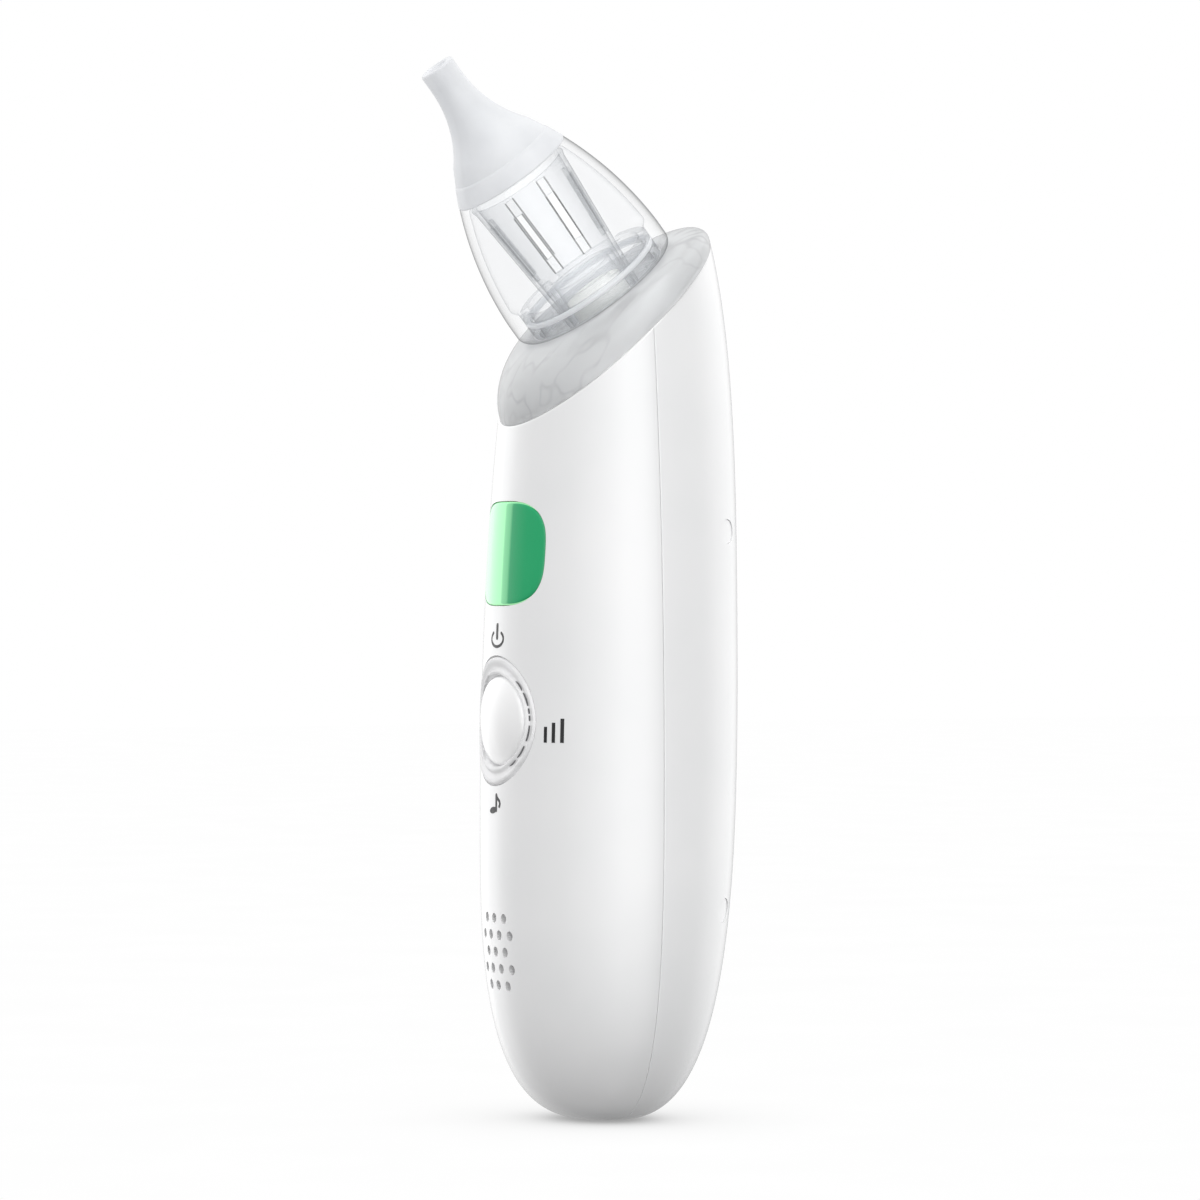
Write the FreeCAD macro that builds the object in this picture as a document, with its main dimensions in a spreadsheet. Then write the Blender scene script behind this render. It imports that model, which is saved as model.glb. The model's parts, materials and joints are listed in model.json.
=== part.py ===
import FreeCAD, Part
import Sketcher
import math
import os

from FreeCAD import Matrix, Placement, Rotation, Vector

# Nasal aspirator, millimetres.  +Z up, -Y is the side with the display, the origin is the mouth of
# the charging port in the middle of the foot.  The head leans towards -Y.

doc = FreeCAD.newDocument("nasal_aspirator")
sheet = doc.addObject("Spreadsheet::Sheet", "Sizes")
finished = []


# ---------------------------------------------------------------- sizes that carry their formula

class Length:
    """A number together with the spreadsheet formula it came from."""

    def __init__(self, number, formula=None):
        self.number = float(number)
        self.formula = formula or repr(float(number))

    def join(self, sign, number, other):
        return Length(number, f"({self.formula} {sign} {other.formula})")

    def __add__(self, other):
        other = as_length(other)
        return self.join("+", self.number + other.number, other)

    def __sub__(self, other):
        other = as_length(other)
        return self.join("-", self.number - other.number, other)

    def __mul__(self, other):
        other = as_length(other)
        return self.join("*", self.number * other.number, other)

    def __truediv__(self, other):
        other = as_length(other)
        return self.join("/", self.number / other.number, other)

    def __radd__(self, other):
        return as_length(other) + self

    def __rsub__(self, other):
        return as_length(other) - self

    def __rmul__(self, other):
        return as_length(other) * self

    def __neg__(self):
        return as_length(0) - self


def as_length(value):
    return value if isinstance(value, Length) else Length(value)


def sine(angle):
    return Length(math.sin(math.radians(angle.number)), f"sin({angle.formula} * 1 deg)")


def cosine(angle):
    return Length(math.cos(math.radians(angle.number)), f"cos({angle.formula} * 1 deg)")


def driving(name, number):
    """Put one driving dimension in the sheet and return it as a Length."""
    row = driving.row
    driving.row = row + 1
    sheet.set(f"A{row}", name)
    sheet.set(f"B{row}", str(number))
    sheet.setAlias(f"B{row}", name)
    return Length(number, f"Sizes.{name}")


driving.row = 1

# body
half_width = driving("half_width", 24.2)
front_depth = driving("front_depth", 20.5)
rear_depth = driving("rear_depth", 22.6)
widest_height = driving("widest_height", 60)
front_height = driving("front_height", 48)
rear_height = driving("rear_height", 88)
width_fall = driving("width_fall", 133)
front_fall = driving("front_fall", 132)
rear_fall = driving("rear_fall", 79)
foot_angle = driving("foot_angle", 4.3)
wall = driving("wall", 2)
rim_height = driving("rim_height", 134)
rim_lean = driving("rim_lean", 42.9)
gap = driving("gap", 0.05)
# head
head_lean = driving("head_lean", 38.6)
seat_back = driving("seat_back", -1.13)
seat_height = driving("seat_height", 140.6)
seat_radius = driving("seat_radius", 16.4)
plate = driving("plate", 1.6)
collar_hole = driving("collar_hole", 12.1)
cup_radius = driving("cup_radius", 15.5)
cup_wall = driving("cup_wall", 1.5)
cup_height = driving("cup_height", 25.7)
cup_straight = driving("cup_straight", 4.5)
cup_curve = driving("cup_curve", 60)
shoulder_radius = driving("shoulder_radius", 10.75)
nozzle_height = driving("nozzle_height", 22.2)
nozzle_mouth = driving("nozzle_mouth", 3.1)
nozzle_wall = driving("nozzle_wall", 1.2)
nozzle_waist = driving("nozzle_waist", 7.65)
nozzle_curve = driving("nozzle_curve", 20.4)
port_bore = driving("port_bore", 1.2)
spigot_radius = driving("spigot_radius", 2.2)
sleeve_foot = driving("sleeve_foot", 7.1)
sleeve_top = driving("sleeve_top", 9.1)
# display and controls
window_low = driving("window_low", 87.5)
window_high = driving("window_high", 105)
window_half = driving("window_half", 12)
window_plate = driving("window_plate", 1)
window_corner = driving("window_corner", 8)
control_height = driving("control_height", 68)
ring_half_width = driving("ring_half_width", 11.4)
ring_half_height = driving("ring_half_height", 10.8)
button_half_width = driving("button_half_width", 8.8)
button_half_height = driving("button_half_height", 7.5)
button_back = driving("button_back", 16.2)
ring_proud = driving("ring_proud", 0.4)
ring_back = driving("ring_back", 16.6)
switch_reach = driving("switch_reach", 9.3)
board_front = driving("board_front", 11.5)
board_plate = driving("board_plate", 1.2)
board_half = driving("board_half", 12.5)
# speaker
speaker_height = driving("speaker_height", 29)
speaker_radius = driving("speaker_radius", 9)
hole_radius = driving("hole_radius", 0.85)
hole_pitch = driving("hole_pitch", 3.4)
row_step = driving("row_step", 2.85)
# motor, pump, battery
motor_back = driving("motor_back", 6)
motor_radius = driving("motor_radius", 12)
motor_foot = driving("motor_foot", 60)
motor_length = driving("motor_length", 30)
shaft_radius = driving("shaft_radius", 1)
pump_radius = driving("pump_radius", 13)
cell_radius = driving("cell_radius", 7)
cell_length = driving("cell_length", 44)
cell_foot = driving("cell_foot", 11.5)
cell_back = driving("cell_back", 4)
# fasteners
screw_radius = driving("screw_radius", 1)
screw_side = driving("screw_side", 17)
screw_low = driving("screw_low", 36)
screw_high = driving("screw_high", 100)
post_radius = driving("post_radius", 2.6)
plug_radius = driving("plug_radius", 2)
doc.recompute()


# ---------------------------------------------------------------- small building blocks

UPRIGHT = Rotation()
FACING_FRONT = Rotation(Vector(1, 0, 0), 90)
FACING_BACK = Rotation(Vector(1, 0, 0), -90)
POLES_SIDEWAYS = Rotation(Vector(0, 1, 0), 90)
REACH = 60.0
GLUE = 0.02
EDGE_TOLERANCE = 1e-4


def bind(thing, prop, value):
    """Give a property its number and tie it to the sheet."""
    value = as_length(value)
    if "Sizes" in value.formula:
        thing.setExpression(prop, value.formula)
    else:
        setattr(thing, prop, value.number)


def place(thing, x=0, y=0, z=0, turn=UPRIGHT):
    spot = [as_length(x), as_length(y), as_length(z)]
    thing.Placement = Placement(Vector(*[each.number for each in spot]), turn)
    for letter, each in zip("xyz", spot):
        if "Sizes" in each.formula:
            thing.setExpression(f"Placement.Base.{letter}", each.formula)
    return thing


def on_head(thing, along=0):
    """Stand a piece that was made upright on the leaning head axis, its zero this far from the seat."""
    back = seat_back - as_length(along) * sine(head_lean)
    up = seat_height + as_length(along) * cosine(head_lean)
    place(thing, 0, back, up, Rotation(Vector(1, 0, 0), head_lean.number))
    thing.setExpression("Placement.Rotation.Angle", f"{head_lean.formula} * 1 deg")
    return thing


def cylinder(name, radius, height, x=0, y=0, z=0, turn=UPRIGHT):
    part = doc.addObject("Part::Cylinder", name)
    bind(part, "Radius", radius)
    bind(part, "Height", height)
    return place(part, x, y, z, turn)


def bar(name, size_x, size_y, size_z):
    """A box with its lowest corner at the origin."""
    part = doc.addObject("Part::Box", name)
    bind(part, "Length", size_x)
    bind(part, "Width", size_y)
    bind(part, "Height", size_z)
    return part


def block(name, size_x, size_y, size_z, x=0, y=0, z=0):
    """A box centred on x, standing on z, its nearest face to the front at y."""
    return place(bar(name, size_x, size_y, size_z), as_length(x) - as_length(size_x) / 2, y, z)


def oval_rod(name, half_across, half_up, length, start):
    """An oval bar round the middle of the controls, running forward from this far in front."""
    outline = doc.addObject("Part::Ellipse", name + "_outline")
    bind(outline, "MajorRadius", half_across)
    bind(outline, "MinorRadius", half_up)
    place(outline, 0, -as_length(start), control_height, FACING_FRONT)
    rod = doc.addObject("Part::Extrusion", name)
    rod.Base = outline
    rod.Dir = Vector(0, -1, 0)
    rod.Solid = True
    bind(rod, "LengthFwd", length)
    return rod


def spun(part, angle, out=0, aside=0, up=0):
    """Move a piece away from the Z axis, then turn it round that axis."""
    turn = Rotation(Vector(0, 0, 1), angle)
    part.Placement = Placement(turn.multVec(Vector(out, aside, up)), turn)
    return part


def compound(name, shapes):
    group = doc.addObject("Part::Compound", name)
    group.Links = shapes
    return group


def cut(name, base, tools):
    tool = tools[0] if len(tools) == 1 else fuse(name + "_tools", tools)
    part = doc.addObject("Part::Cut", name)
    part.Base = base
    part.Tool = tool
    return part


def fuse(name, shapes):
    part = doc.addObject("Part::MultiFuse", name)
    part.Shapes = shapes
    return part


def common(name, base, tool):
    part = doc.addObject("Part::Common", name)
    part.Base = base
    part.Tool = tool
    return part


def tube(name, outer, inner, height, x=0, y=0, z=0, turn=UPRIGHT):
    """A plain ring or pipe, made in place."""
    skin = cylinder(name + "_skin", outer, height, x, y, z, turn)
    bore = cylinder(name + "_bore", inner, height, x, y, z, turn)
    return cut(name, skin, [bore])


def finish(part):
    finished.append(part)
    return part


def origin_plane(body, role):
    return next(each for each in body.Origin.OriginFeatures if each.Role == role)


def draw_outline(sketch, corners):
    """Draw a closed outline.  A corner is (across, up) or (across, up, radius, side): the last form
    curves the stretch to the next corner, bulging to the left of travel for side +1."""
    spots = [Vector(as_length(c[0]).number, as_length(c[1]).number, 0) for c in corners]
    ends = []
    for index, corner in enumerate(corners):
        start = spots[index]
        end = spots[(index + 1) % len(spots)]
        if len(corner) == 2:
            line = sketch.addGeometry(Part.LineSegment(start, end))
            ends.append((line, 1, 2))
            continue
        radius = as_length(corner[2])
        half = (end - start) * 0.5
        rise = radius.number - math.sqrt(radius.number ** 2 - half.Length ** 2)
        left = Vector(-half.y, half.x, 0).normalize()
        top = start + half + left * rise * corner[3]
        if corner[3] < 0:
            arc = sketch.addGeometry(Part.ArcOfCircle(start, top, end))
            ends.append((arc, 1, 2))
        else:
            arc = sketch.addGeometry(Part.ArcOfCircle(end, top, start))
            ends.append((arc, 2, 1))
        rule = sketch.addConstraint(Sketcher.Constraint("Radius", arc, radius.number))
        sketch.setExpression(f"Constraints[{rule}]", radius.formula)
    for index, (piece, first, _last) in enumerate(ends):
        before, _first, last = ends[index - 1]
        sketch.addConstraint(Sketcher.Constraint("Coincident", before, last, piece, first))
        for kind, axis, value in (("DistanceX", -2, corners[index][0]),
                                  ("DistanceY", -1, corners[index][1])):
            value = as_length(value)
            if abs(value.number) < EDGE_TOLERANCE:
                sketch.addConstraint(Sketcher.Constraint("PointOnObject", piece, first, axis))
                continue
            spot = Sketcher.Constraint(kind, -1, 1, piece, first, value.number)
            rule = sketch.addConstraint(spot)
            if "Sizes" in value.formula:
                sketch.setExpression(f"Constraints[{rule}]", value.formula)


def sketched_body(name, corners):
    body = doc.addObject("PartDesign::Body", name)
    sketch = body.newObject("Sketcher::SketchObject", name + "_outline")
    sketch.AttachmentSupport = [(origin_plane(body, "XZ_Plane"), "")]
    sketch.MapMode = "FlatFace"
    draw_outline(sketch, corners)
    return body, sketch


def turned(name, corners):
    """A piece turned about its own Z axis from (radius, height) corners."""
    body, sketch = sketched_body(name, corners)
    turn = body.newObject("PartDesign::Revolution", name + "_turn")
    turn.Profile = sketch
    turn.ReferenceAxis = (sketch, ["V_Axis"])
    turn.Angle = 360
    body.Tip = turn
    return body


def padded(name, corners, depth):
    """A piece of even depth towards the front, from (x, z) corners."""
    body, sketch = sketched_body(name, corners)
    pad = body.newObject("PartDesign::Pad", name + "_pad")
    pad.Profile = sketch
    bind(pad, "Length", depth)
    body.Tip = pad
    return body


def rounded(body, feature, edges_wanted, radius, name):
    """Fillet the edges of a body's tip that pass the test edges_wanted."""
    doc.recompute()
    names = [f"Edge{number}" for number, edge in enumerate(feature.Shape.Edges, 1)
             if edges_wanted(edge)]
    soft = body.newObject("PartDesign::Fillet", name)
    soft.Base = (feature, names)
    bind(soft, "Radius", radius)
    body.Tip = soft
    return soft


def runs_along(direction):
    def test(edge):
        if len(edge.Vertexes) != 2 or edge.Curve.TypeId != "Part::GeomLine":
            return False
        along = (edge.Vertexes[1].Point - edge.Vertexes[0].Point).normalize()
        return abs(along.dot(direction)) > 1 - EDGE_TOLERANCE
    return test


def rectangle(half_across, low, high):
    return [(-as_length(half_across), low), (half_across, low), (half_across, high),
            (-as_length(half_across), high)]


# ---------------------------------------------------------------- the body's oval shape

OVAL_POWER = 3
FOOT_SECTIONS = 12
TOP_SECTIONS = 10
HULL_TOP = 157.0


def swell(height, widest, below, above, above_power):
    """Share of the greatest size reached at a height: 1 at the widest place, less away from it."""
    if height <= widest:
        share = min(max((widest - height) / below, 0), 1)
        return (1 - share ** OVAL_POWER) ** (1 / OVAL_POWER)
    share = (height - widest) / above
    return (1 - share ** above_power) ** (1 / above_power)


def oval(across, deep, height):
    ring = Part.makeCircle(1)
    stretch = Matrix()
    stretch.A11 = across
    stretch.A22 = deep
    stretch.A34 = height
    return Part.Wire([ring.transformGeometry(stretch)])


def section_heights(inset):
    """Heights of the ovals, close together near the round foot."""
    middle = widest_height.number
    first = math.radians(foot_angle.number)
    heights = []
    for step in range(FOOT_SECTIONS):
        angle = first + (math.pi / 2 - first) * step / FOOT_SECTIONS
        share = (math.cos(angle) / math.cos(first)) ** (2 / OVAL_POWER)
        heights.append(middle - (middle - inset) * share)
    for step in range(TOP_SECTIONS + 1):
        heights.append(middle + (HULL_TOP - middle) * step / TOP_SECTIONS)
    return heights


def hull(name, depth, deepest, fall, fall_power, inset):
    """The oval body shape for one depth, made smaller all round by the inset."""
    inset = as_length(inset).number
    foot_share = math.cos(math.radians(foot_angle.number)) ** (2 / OVAL_POWER)
    rings = []
    for height in section_heights(inset):
        below = (widest_height.number - inset) / foot_share
        across = swell(height, widest_height.number, below, width_fall.number, 2)
        below = (deepest.number - inset) / foot_share
        deep = swell(height, deepest.number, below, fall.number, fall_power)
        rings.append(oval(across * (half_width.number - inset), deep * (depth.number - inset), height))
    part = doc.addObject("Part::Feature", name)
    part.Shape = Part.makeLoft(rings, True)
    return part


def front_hull(name, inset):
    return hull(name, front_depth, front_height, front_fall, 2, inset)


def rear_hull(name, inset):
    return hull(name, rear_depth, rear_height, rear_fall, OVAL_POWER, inset)


def front_half(name):
    return block(name, 2 * REACH, REACH, 4 * REACH, 0, -REACH, -REACH)


def rear_half(name):
    return block(name, 2 * REACH, REACH, 4 * REACH, 0, 0, -REACH)


def rim_slab(name, low, thickness):
    """A leaning slab, measured up from the plane where the shells end and the collar begins."""
    lean = Rotation(Vector(1, 0, 0), rim_lean.number)
    start = Placement(Vector(0, 0, rim_height.number), lean)
    slab = doc.addObject("Part::Box", name)
    slab.Length = 2 * REACH
    slab.Width = 2 * REACH
    bind(slab, "Height", thickness)
    slab.Placement = start.multiply(Placement(Vector(-REACH, -REACH, as_length(low).number), UPRIGHT))
    return slab


# ---------------------------------------------------------------- shells

HOLES_IN_ROW = (3, 4, 3, 4, 3)
WINDOW_LEDGE = 1.4
RING_CLEARANCE = 0.25
COUNTERBORE_START = 8.0
SLOT_LONG = 9.2
SLOT_THICK = 3.5


def screw_spots():
    return [(side, height) for height in (screw_low, screw_high)
            for side in (screw_side, -screw_side)]


def at_screws(name, radius, length, start, turn):
    """The same round bar at each of the four screws."""
    return [cylinder(f"{name}_{number}", radius, length, side, start, height, turn)
            for number, (side, height) in enumerate(screw_spots())]


def shell_blank(name, whole, half, turn):
    """Half of the body, hollow and open at its slanted top, with four screw posts inside."""
    skin = common(f"{name}_skin", whole(f"{name}_outside", 0), half(f"{name}_side"))
    hollow = whole(f"{name}_inside", wall)
    walls = cut(f"{name}_walls", skin, [hollow, rim_slab(f"{name}_above_rim", 0, REACH)])
    rods = at_screws(f"{name}_post", post_radius, REACH / 2, 0, turn)
    posts = [common(f"{name}_post_fit_{number}", rod, skin) for number, rod in enumerate(rods)]
    return fuse(f"{name}_solid", [walls] + posts)


def window_prism(name, grow):
    """Rounded display outline with bulging sides, reaching forward through the front wall."""
    side_rise = 2.5
    side_bulge = 12.5 + grow
    end_rise = 1.28
    end_bulge = 36.0 + grow
    half = window_half - side_rise + grow
    low = window_low + end_rise - grow
    high = window_high - end_rise + grow
    corners = [(-half, low, end_bulge, -1), (half, low, side_bulge, -1),
               (half, high, end_bulge, -1), (-half, high, side_bulge, -1)]
    body = padded(name, corners, REACH / 2)
    rounded(body, body.Tip, runs_along(Vector(0, 1, 0)), window_corner + grow, name + "_corners")
    return body


def speaker_openings():
    """Staggered rows of round holes through the front wall."""
    inside = -8
    middle_row = len(HOLES_IN_ROW) // 2
    holes = []
    for row, count in enumerate(HOLES_IN_ROW):
        height = speaker_height + row_step * (middle_row - row)
        for column in range(count):
            across = hole_pitch * (column - (count - 1) / 2)
            holes.append(cylinder(f"speaker_hole_{row}_{column}", hole_radius, REACH / 2, across, inside,
                                  height, FACING_FRONT))
    return holes


def socket_slot(name):
    return block(name, SLOT_LONG, SLOT_THICK, 3 * wall, 0, -SLOT_THICK / 2, -wall)


def build_front_shell():
    pilot_depth = 7.5
    pilot_clearance = 0.02
    blank = shell_blank("front", front_hull, front_half, FACING_FRONT)
    recess = cut("window_recess", window_prism("window_seat", gap),
                 [front_hull("window_floor", window_plate + gap)])
    view = window_prism("window_view", -WINDOW_LEDGE)
    ring_hole = oval_rod("ring_hole", ring_half_width + RING_CLEARANCE, ring_half_height + RING_CLEARANCE,
                         REACH / 2, 5)
    pilots = at_screws("front_pilot", screw_radius + pilot_clearance, pilot_depth, 0, FACING_FRONT)
    tools = [recess, view, ring_hole, socket_slot("front_slot")] + speaker_openings() + pilots
    finish(cut("front_shell", blank, tools))


def build_rear_shell():
    hole_clearance = 0.1
    blank = shell_blank("rear", rear_hull, rear_half, FACING_BACK)
    holes = at_screws("rear_hole", screw_radius + hole_clearance, REACH / 2, -1, FACING_BACK)
    counterbores = at_screws("rear_counterbore", plug_radius + gap, REACH / 2, COUNTERBORE_START,
                             FACING_BACK)
    finish(cut("rear_shell", blank, [socket_slot("rear_slot")] + holes + counterbores))


def build_case_screws():
    """Four self-tapping screws from the back, with cross-cut heads."""
    shank_length = 15
    head_radius = plug_radius - 0.1
    head_height = 1.5
    slot_long = 2.4
    slot_wide = 0.5
    slot_deep = 0.8
    slot_start = COUNTERBORE_START + head_height - slot_deep + 0.2
    shanks = at_screws("screw_shank", screw_radius, shank_length, COUNTERBORE_START - shank_length,
                       FACING_BACK)
    heads = at_screws("screw_head", head_radius, head_height, COUNTERBORE_START, FACING_BACK)
    screws = []
    for number, (side, height) in enumerate(screw_spots()):
        blank = fuse(f"screw_blank_{number}", [shanks[number], heads[number]])
        slots = [block(f"screw_slot_flat_{number}", slot_long, slot_deep, slot_wide, side, slot_start,
                       height - slot_wide / 2),
                 block(f"screw_slot_upright_{number}", slot_wide, slot_deep, slot_long, side, slot_start,
                       height - slot_long / 2)]
        screws.append(cut(f"screw_{number}", blank, slots))
    finish(compound("case_screws", screws))


def build_screw_plugs():
    """Four white plugs that hide the screws, a little below the surface."""
    sunk = 0.15
    start = 9.8
    outside = rear_hull("plug_face", sunk)
    rods = at_screws("plug_rod", plug_radius, REACH / 2, start, FACING_BACK)
    plugs = [common(f"plug_{number}", rod, outside) for number, rod in enumerate(rods)]
    finish(compound("screw_plugs", plugs))


# ---------------------------------------------------------------- display and controls

SOCKET_HALF_LONG = 4.47
SOCKET_HALF_THICK = 1.63


def build_display_window():
    blank = common("window_blank", window_prism("window_shape", 0), front_hull("window_face", 0))
    finish(cut("display_window", blank, [front_hull("window_back", window_plate)]))


def build_display_module():
    """Display glass on its backlight, standing on the main board."""
    middle = (window_low + window_high) / 2
    glass_wide = 20.6
    glass_tall = 14.4
    glass_thick = 1.2
    glass_front = 14.6
    light_wide = 21.4
    light_tall = 15.4
    light_thick = glass_front - glass_thick - board_front - 2 * GLUE
    finish(block("lcd_glass", glass_wide, glass_thick, glass_tall, 0, -glass_front, middle - glass_tall / 2))
    finish(block("lcd_backlight", light_wide, light_thick, light_tall, 0,
                 glass_thick - glass_front + GLUE, middle - light_tall / 2))


def build_control_ring():
    """Clear ring round the button, and the thin carrier behind it that rocks with it."""
    inner_gap = 0.15
    ring_deep = 10
    rim = oval_rod("ring_rim", ring_half_width, ring_half_height, ring_deep, ring_back)
    bore = oval_rod("ring_bore", button_half_width + inner_gap, button_half_height + inner_gap, ring_deep,
                    ring_back)
    finish(common("control_ring", cut("ring_blank", rim, [bore]), front_hull("ring_face", -ring_proud)))
    carrier_thick = 0.4
    carrier_back = ring_back - 2 * carrier_thick - GLUE * 3.5
    inset = 0.1
    room = 0.45
    plate_rim = oval_rod("carrier_rim", ring_half_width - inset, ring_half_height - inset, carrier_thick,
                         carrier_back)
    plate_bore = oval_rod("carrier_bore", button_half_width + room, button_half_height + room,
                          carrier_thick, carrier_back)
    finish(cut("ring_carrier", plate_rim, [plate_bore]))


def build_centre_button():
    """Domed oval button with a short plunger behind it."""
    side = 2.9
    rise = as_length(1.9)
    dome = (button_half_width * button_half_width + rise * rise) / (2 * rise)
    ball = doc.addObject("Part::Sphere", "button_ball")
    bind(ball, "Radius", dome)
    place(ball, 0, dome - button_back - side - rise, control_height, POLES_SIDEWAYS)
    rod = oval_rod("button_rod", button_half_width, button_half_height, side + rise + 1, button_back)
    plunger_radius = 1.5
    plunger_long = 0.35
    plunger = cylinder("button_plunger", plunger_radius, plunger_long + 1, 0, plunger_long - button_back,
                       control_height, FACING_FRONT)
    finish(fuse("centre_button", [common("button_disc", rod, ball), plunger]))


def build_switches():
    """Five push switches: one behind the button and four behind the ring."""
    can_size = 4.5
    can_deep = 2.5
    stem_radius = 1.1
    stem_long = 1.3
    overlap = 0.1
    spots = {"centre": (0, 0), "up": (0, 1), "down": (0, -1), "left": (-1, 0), "right": (1, 0)}
    for name, (across, up) in spots.items():
        side = across * switch_reach
        height = control_height + up * switch_reach
        can = block(f"{name}_can", can_size, can_deep, can_size, side, -board_front - can_deep,
                    height - can_size / 2)
        stem = cylinder(f"{name}_stem", stem_radius, stem_long + overlap, side,
                        overlap - board_front - can_deep, height, FACING_FRONT)
        finish(fuse(f"switch_{name}", [can, stem]))


def build_boards():
    """Main board with its three parts, and the small charging board at the foot."""
    board_low = 20
    board_high = 106.4
    board_corner = 2
    board = padded("main_board", rectangle(board_half, board_low, board_high), board_plate)
    rounded(board, board.Tip, runs_along(Vector(0, 1, 0)), board_corner, "main_board_corners")
    finish(place(board, 0, board_plate - board_front, 0))
    behind = board_plate - board_front + GLUE / 2
    fittings = {"control_chip": (7, 0.9, 7, -2, 80),
                "charge_chip": (4, 1.0, 5, 4, 40),
                "battery_connector": (6, 4.4, 4.6, -5, 30)}
    for name, (wide, deep, tall, across, low) in fittings.items():
        finish(block(name, wide, deep, tall, across, behind, low))
    finish(block("charge_board", 13, 1, 7, 0, SOCKET_HALF_THICK + 1.5 * GLUE, 3.6))


def build_charge_socket():
    """Reversible socket, its mouth level with the foot."""
    metal = 0.3
    top = 7.3
    corner = 1.5
    blank = padded("socket_blank", rectangle(SOCKET_HALF_LONG, gap, top), 2 * SOCKET_HALF_THICK)
    rounded(blank, blank.Tip, runs_along(Vector(0, 0, 1)), corner, "socket_corners")
    place(blank, 0, SOCKET_HALF_THICK, 0)
    hollow = padded("socket_hollow", rectangle(SOCKET_HALF_LONG - metal, -1, top - metal),
                    2 * (SOCKET_HALF_THICK - metal))
    rounded(hollow, hollow.Tip, runs_along(Vector(0, 0, 1)), corner - metal, "socket_hollow_corners")
    place(hollow, 0, SOCKET_HALF_THICK - metal, 0)
    finish(cut("charge_socket", blank, [hollow]))
    blade_thick = 0.7
    root_thick = 2.2
    root_tall = 1.6
    blade = block("tongue_blade", 6.7, blade_thick, 5, 0, -blade_thick / 2, 0.8)
    root = block("tongue_root", 7.4, root_thick, root_tall, 0, -root_thick / 2,
                 top - metal - root_tall - gap)
    finish(fuse("socket_tongue", [blade, root]))


# ---------------------------------------------------------------- speaker

def build_speaker():
    """Basket, magnet, cone and soft gasket, facing the holes in the front."""
    back = -board_front - gap
    throat = 4.6
    shoulder = 7.0
    rim_low = 2.6
    basket_deep = 4.0
    metal = 0.8
    lip_width = 1.0
    basket = turned("speaker_basket", [(throat, 0), (shoulder, 0), (speaker_radius, rim_low),
                                       (speaker_radius, basket_deep),
                                       (speaker_radius - lip_width, basket_deep),
                                       (speaker_radius - lip_width, basket_deep - metal),
                                       (shoulder - metal, metal), (throat, metal)])
    finish(place(basket, 0, back, speaker_height, FACING_FRONT))
    finish(cylinder("speaker_magnet", throat - 0.1, 2 * metal, 0, back - GLUE, speaker_height, FACING_FRONT))
    cone_rim = 7.9
    cone_top = 3.6
    film = 0.3
    cone = turned("speaker_cone", [(0, 2.0), (3.0, 2.2), (cone_rim - film, cone_top - film),
                                   (cone_rim, cone_top - film), (cone_rim, cone_top),
                                   (cone_rim - 0.5, cone_top), (2.8, 2.2 + film), (0, 2.9)])
    finish(place(cone, 0, back, speaker_height, FACING_FRONT))
    gasket_wide = 1.4
    gasket_thick = 0.4
    finish(tube("speaker_gasket", speaker_radius, speaker_radius - gasket_wide, gasket_thick, 0,
                back - basket_deep - GLUE, speaker_height, FACING_FRONT))


# ---------------------------------------------------------------- battery

def build_battery():
    """Round cell with its raised contact, held in a half-round tray."""
    edge = 0.8
    contact_radius = 2.2
    contact_rise = 0.7
    corners = [(0, 0), (cell_radius - edge, 0, edge, -1), (cell_radius, edge),
               (cell_radius, cell_length - edge, edge, -1), (cell_radius - edge, cell_length),
               (contact_radius, cell_length), (contact_radius, cell_length + contact_rise),
               (0, cell_length + contact_rise)]
    finish(place(turned("battery_cell", corners), 0, cell_back, cell_foot))
    tray_wall = 1.1
    short_of_end = 4
    ring = tube("tray_ring", cell_radius + tray_wall, cell_radius + gap, cell_length - 2 * short_of_end, 0,
                cell_back, cell_foot + short_of_end)
    behind = block("tray_side", REACH, REACH, 2 * REACH, 0, cell_back + 1, 0)
    finish(common("battery_tray", ring, behind))


# ---------------------------------------------------------------- motor

MAGNET_ARC = 120
MAGNET_THICK = 1.9
CAN_WALL = 1.0
CAN_BOSS = 3.3
CAP_THICK = 2.4
CAP_BORE = 2.4


def at_motor(body, height):
    return place(body, 0, motor_back, height)


def build_motor():
    """Steel can with two magnets, end cap, two bushings and a rubber sleeve round it."""
    inner = motor_radius - CAN_WALL
    edge = 1.5
    can = turned("motor_can", [(CAN_BOSS, motor_length), (CAN_BOSS, motor_length - CAN_WALL),
                               (inner, motor_length - CAN_WALL), (inner, 0), (motor_radius, 0),
                               (motor_radius, motor_length - edge, edge, -1),
                               (motor_radius - edge, motor_length)])
    finish(at_motor(can, motor_foot))
    cap_step = 0.8
    cap = turned("motor_end_cap", [(CAP_BORE, -CAP_THICK), (motor_radius, -CAP_THICK), (motor_radius, 0),
                                   (inner, 0), (inner, cap_step), (CAP_BORE, cap_step)])
    finish(at_motor(cap, motor_foot - GLUE))
    magnet_tall = 20
    for name, start in (("magnet_left", 120), ("magnet_right", -60)):
        outer = cylinder(f"{name}_skin", inner, magnet_tall)
        outer.Angle = MAGNET_ARC
        magnet = cut(name, outer, [cylinder(f"{name}_bore", inner - MAGNET_THICK, magnet_tall)])
        finish(place(magnet, 0, motor_back, motor_foot + 4, Rotation(Vector(0, 0, 1), start)))
    bore = shaft_radius + 0.03
    bushing_tall = 3.2
    finish(at_motor(tube("bushing_top", CAN_BOSS, bore, bushing_tall),
                    motor_foot + motor_length - bushing_tall / 2))
    finish(at_motor(tube("bushing_bottom", CAP_BORE, bore, bushing_tall), motor_foot - CAP_THICK - GLUE))
    sleeve_wall = 1.4
    finish(at_motor(tube("motor_sleeve", motor_radius + sleeve_wall, motor_radius + GLUE, 18),
                    motor_foot + 6))


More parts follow.
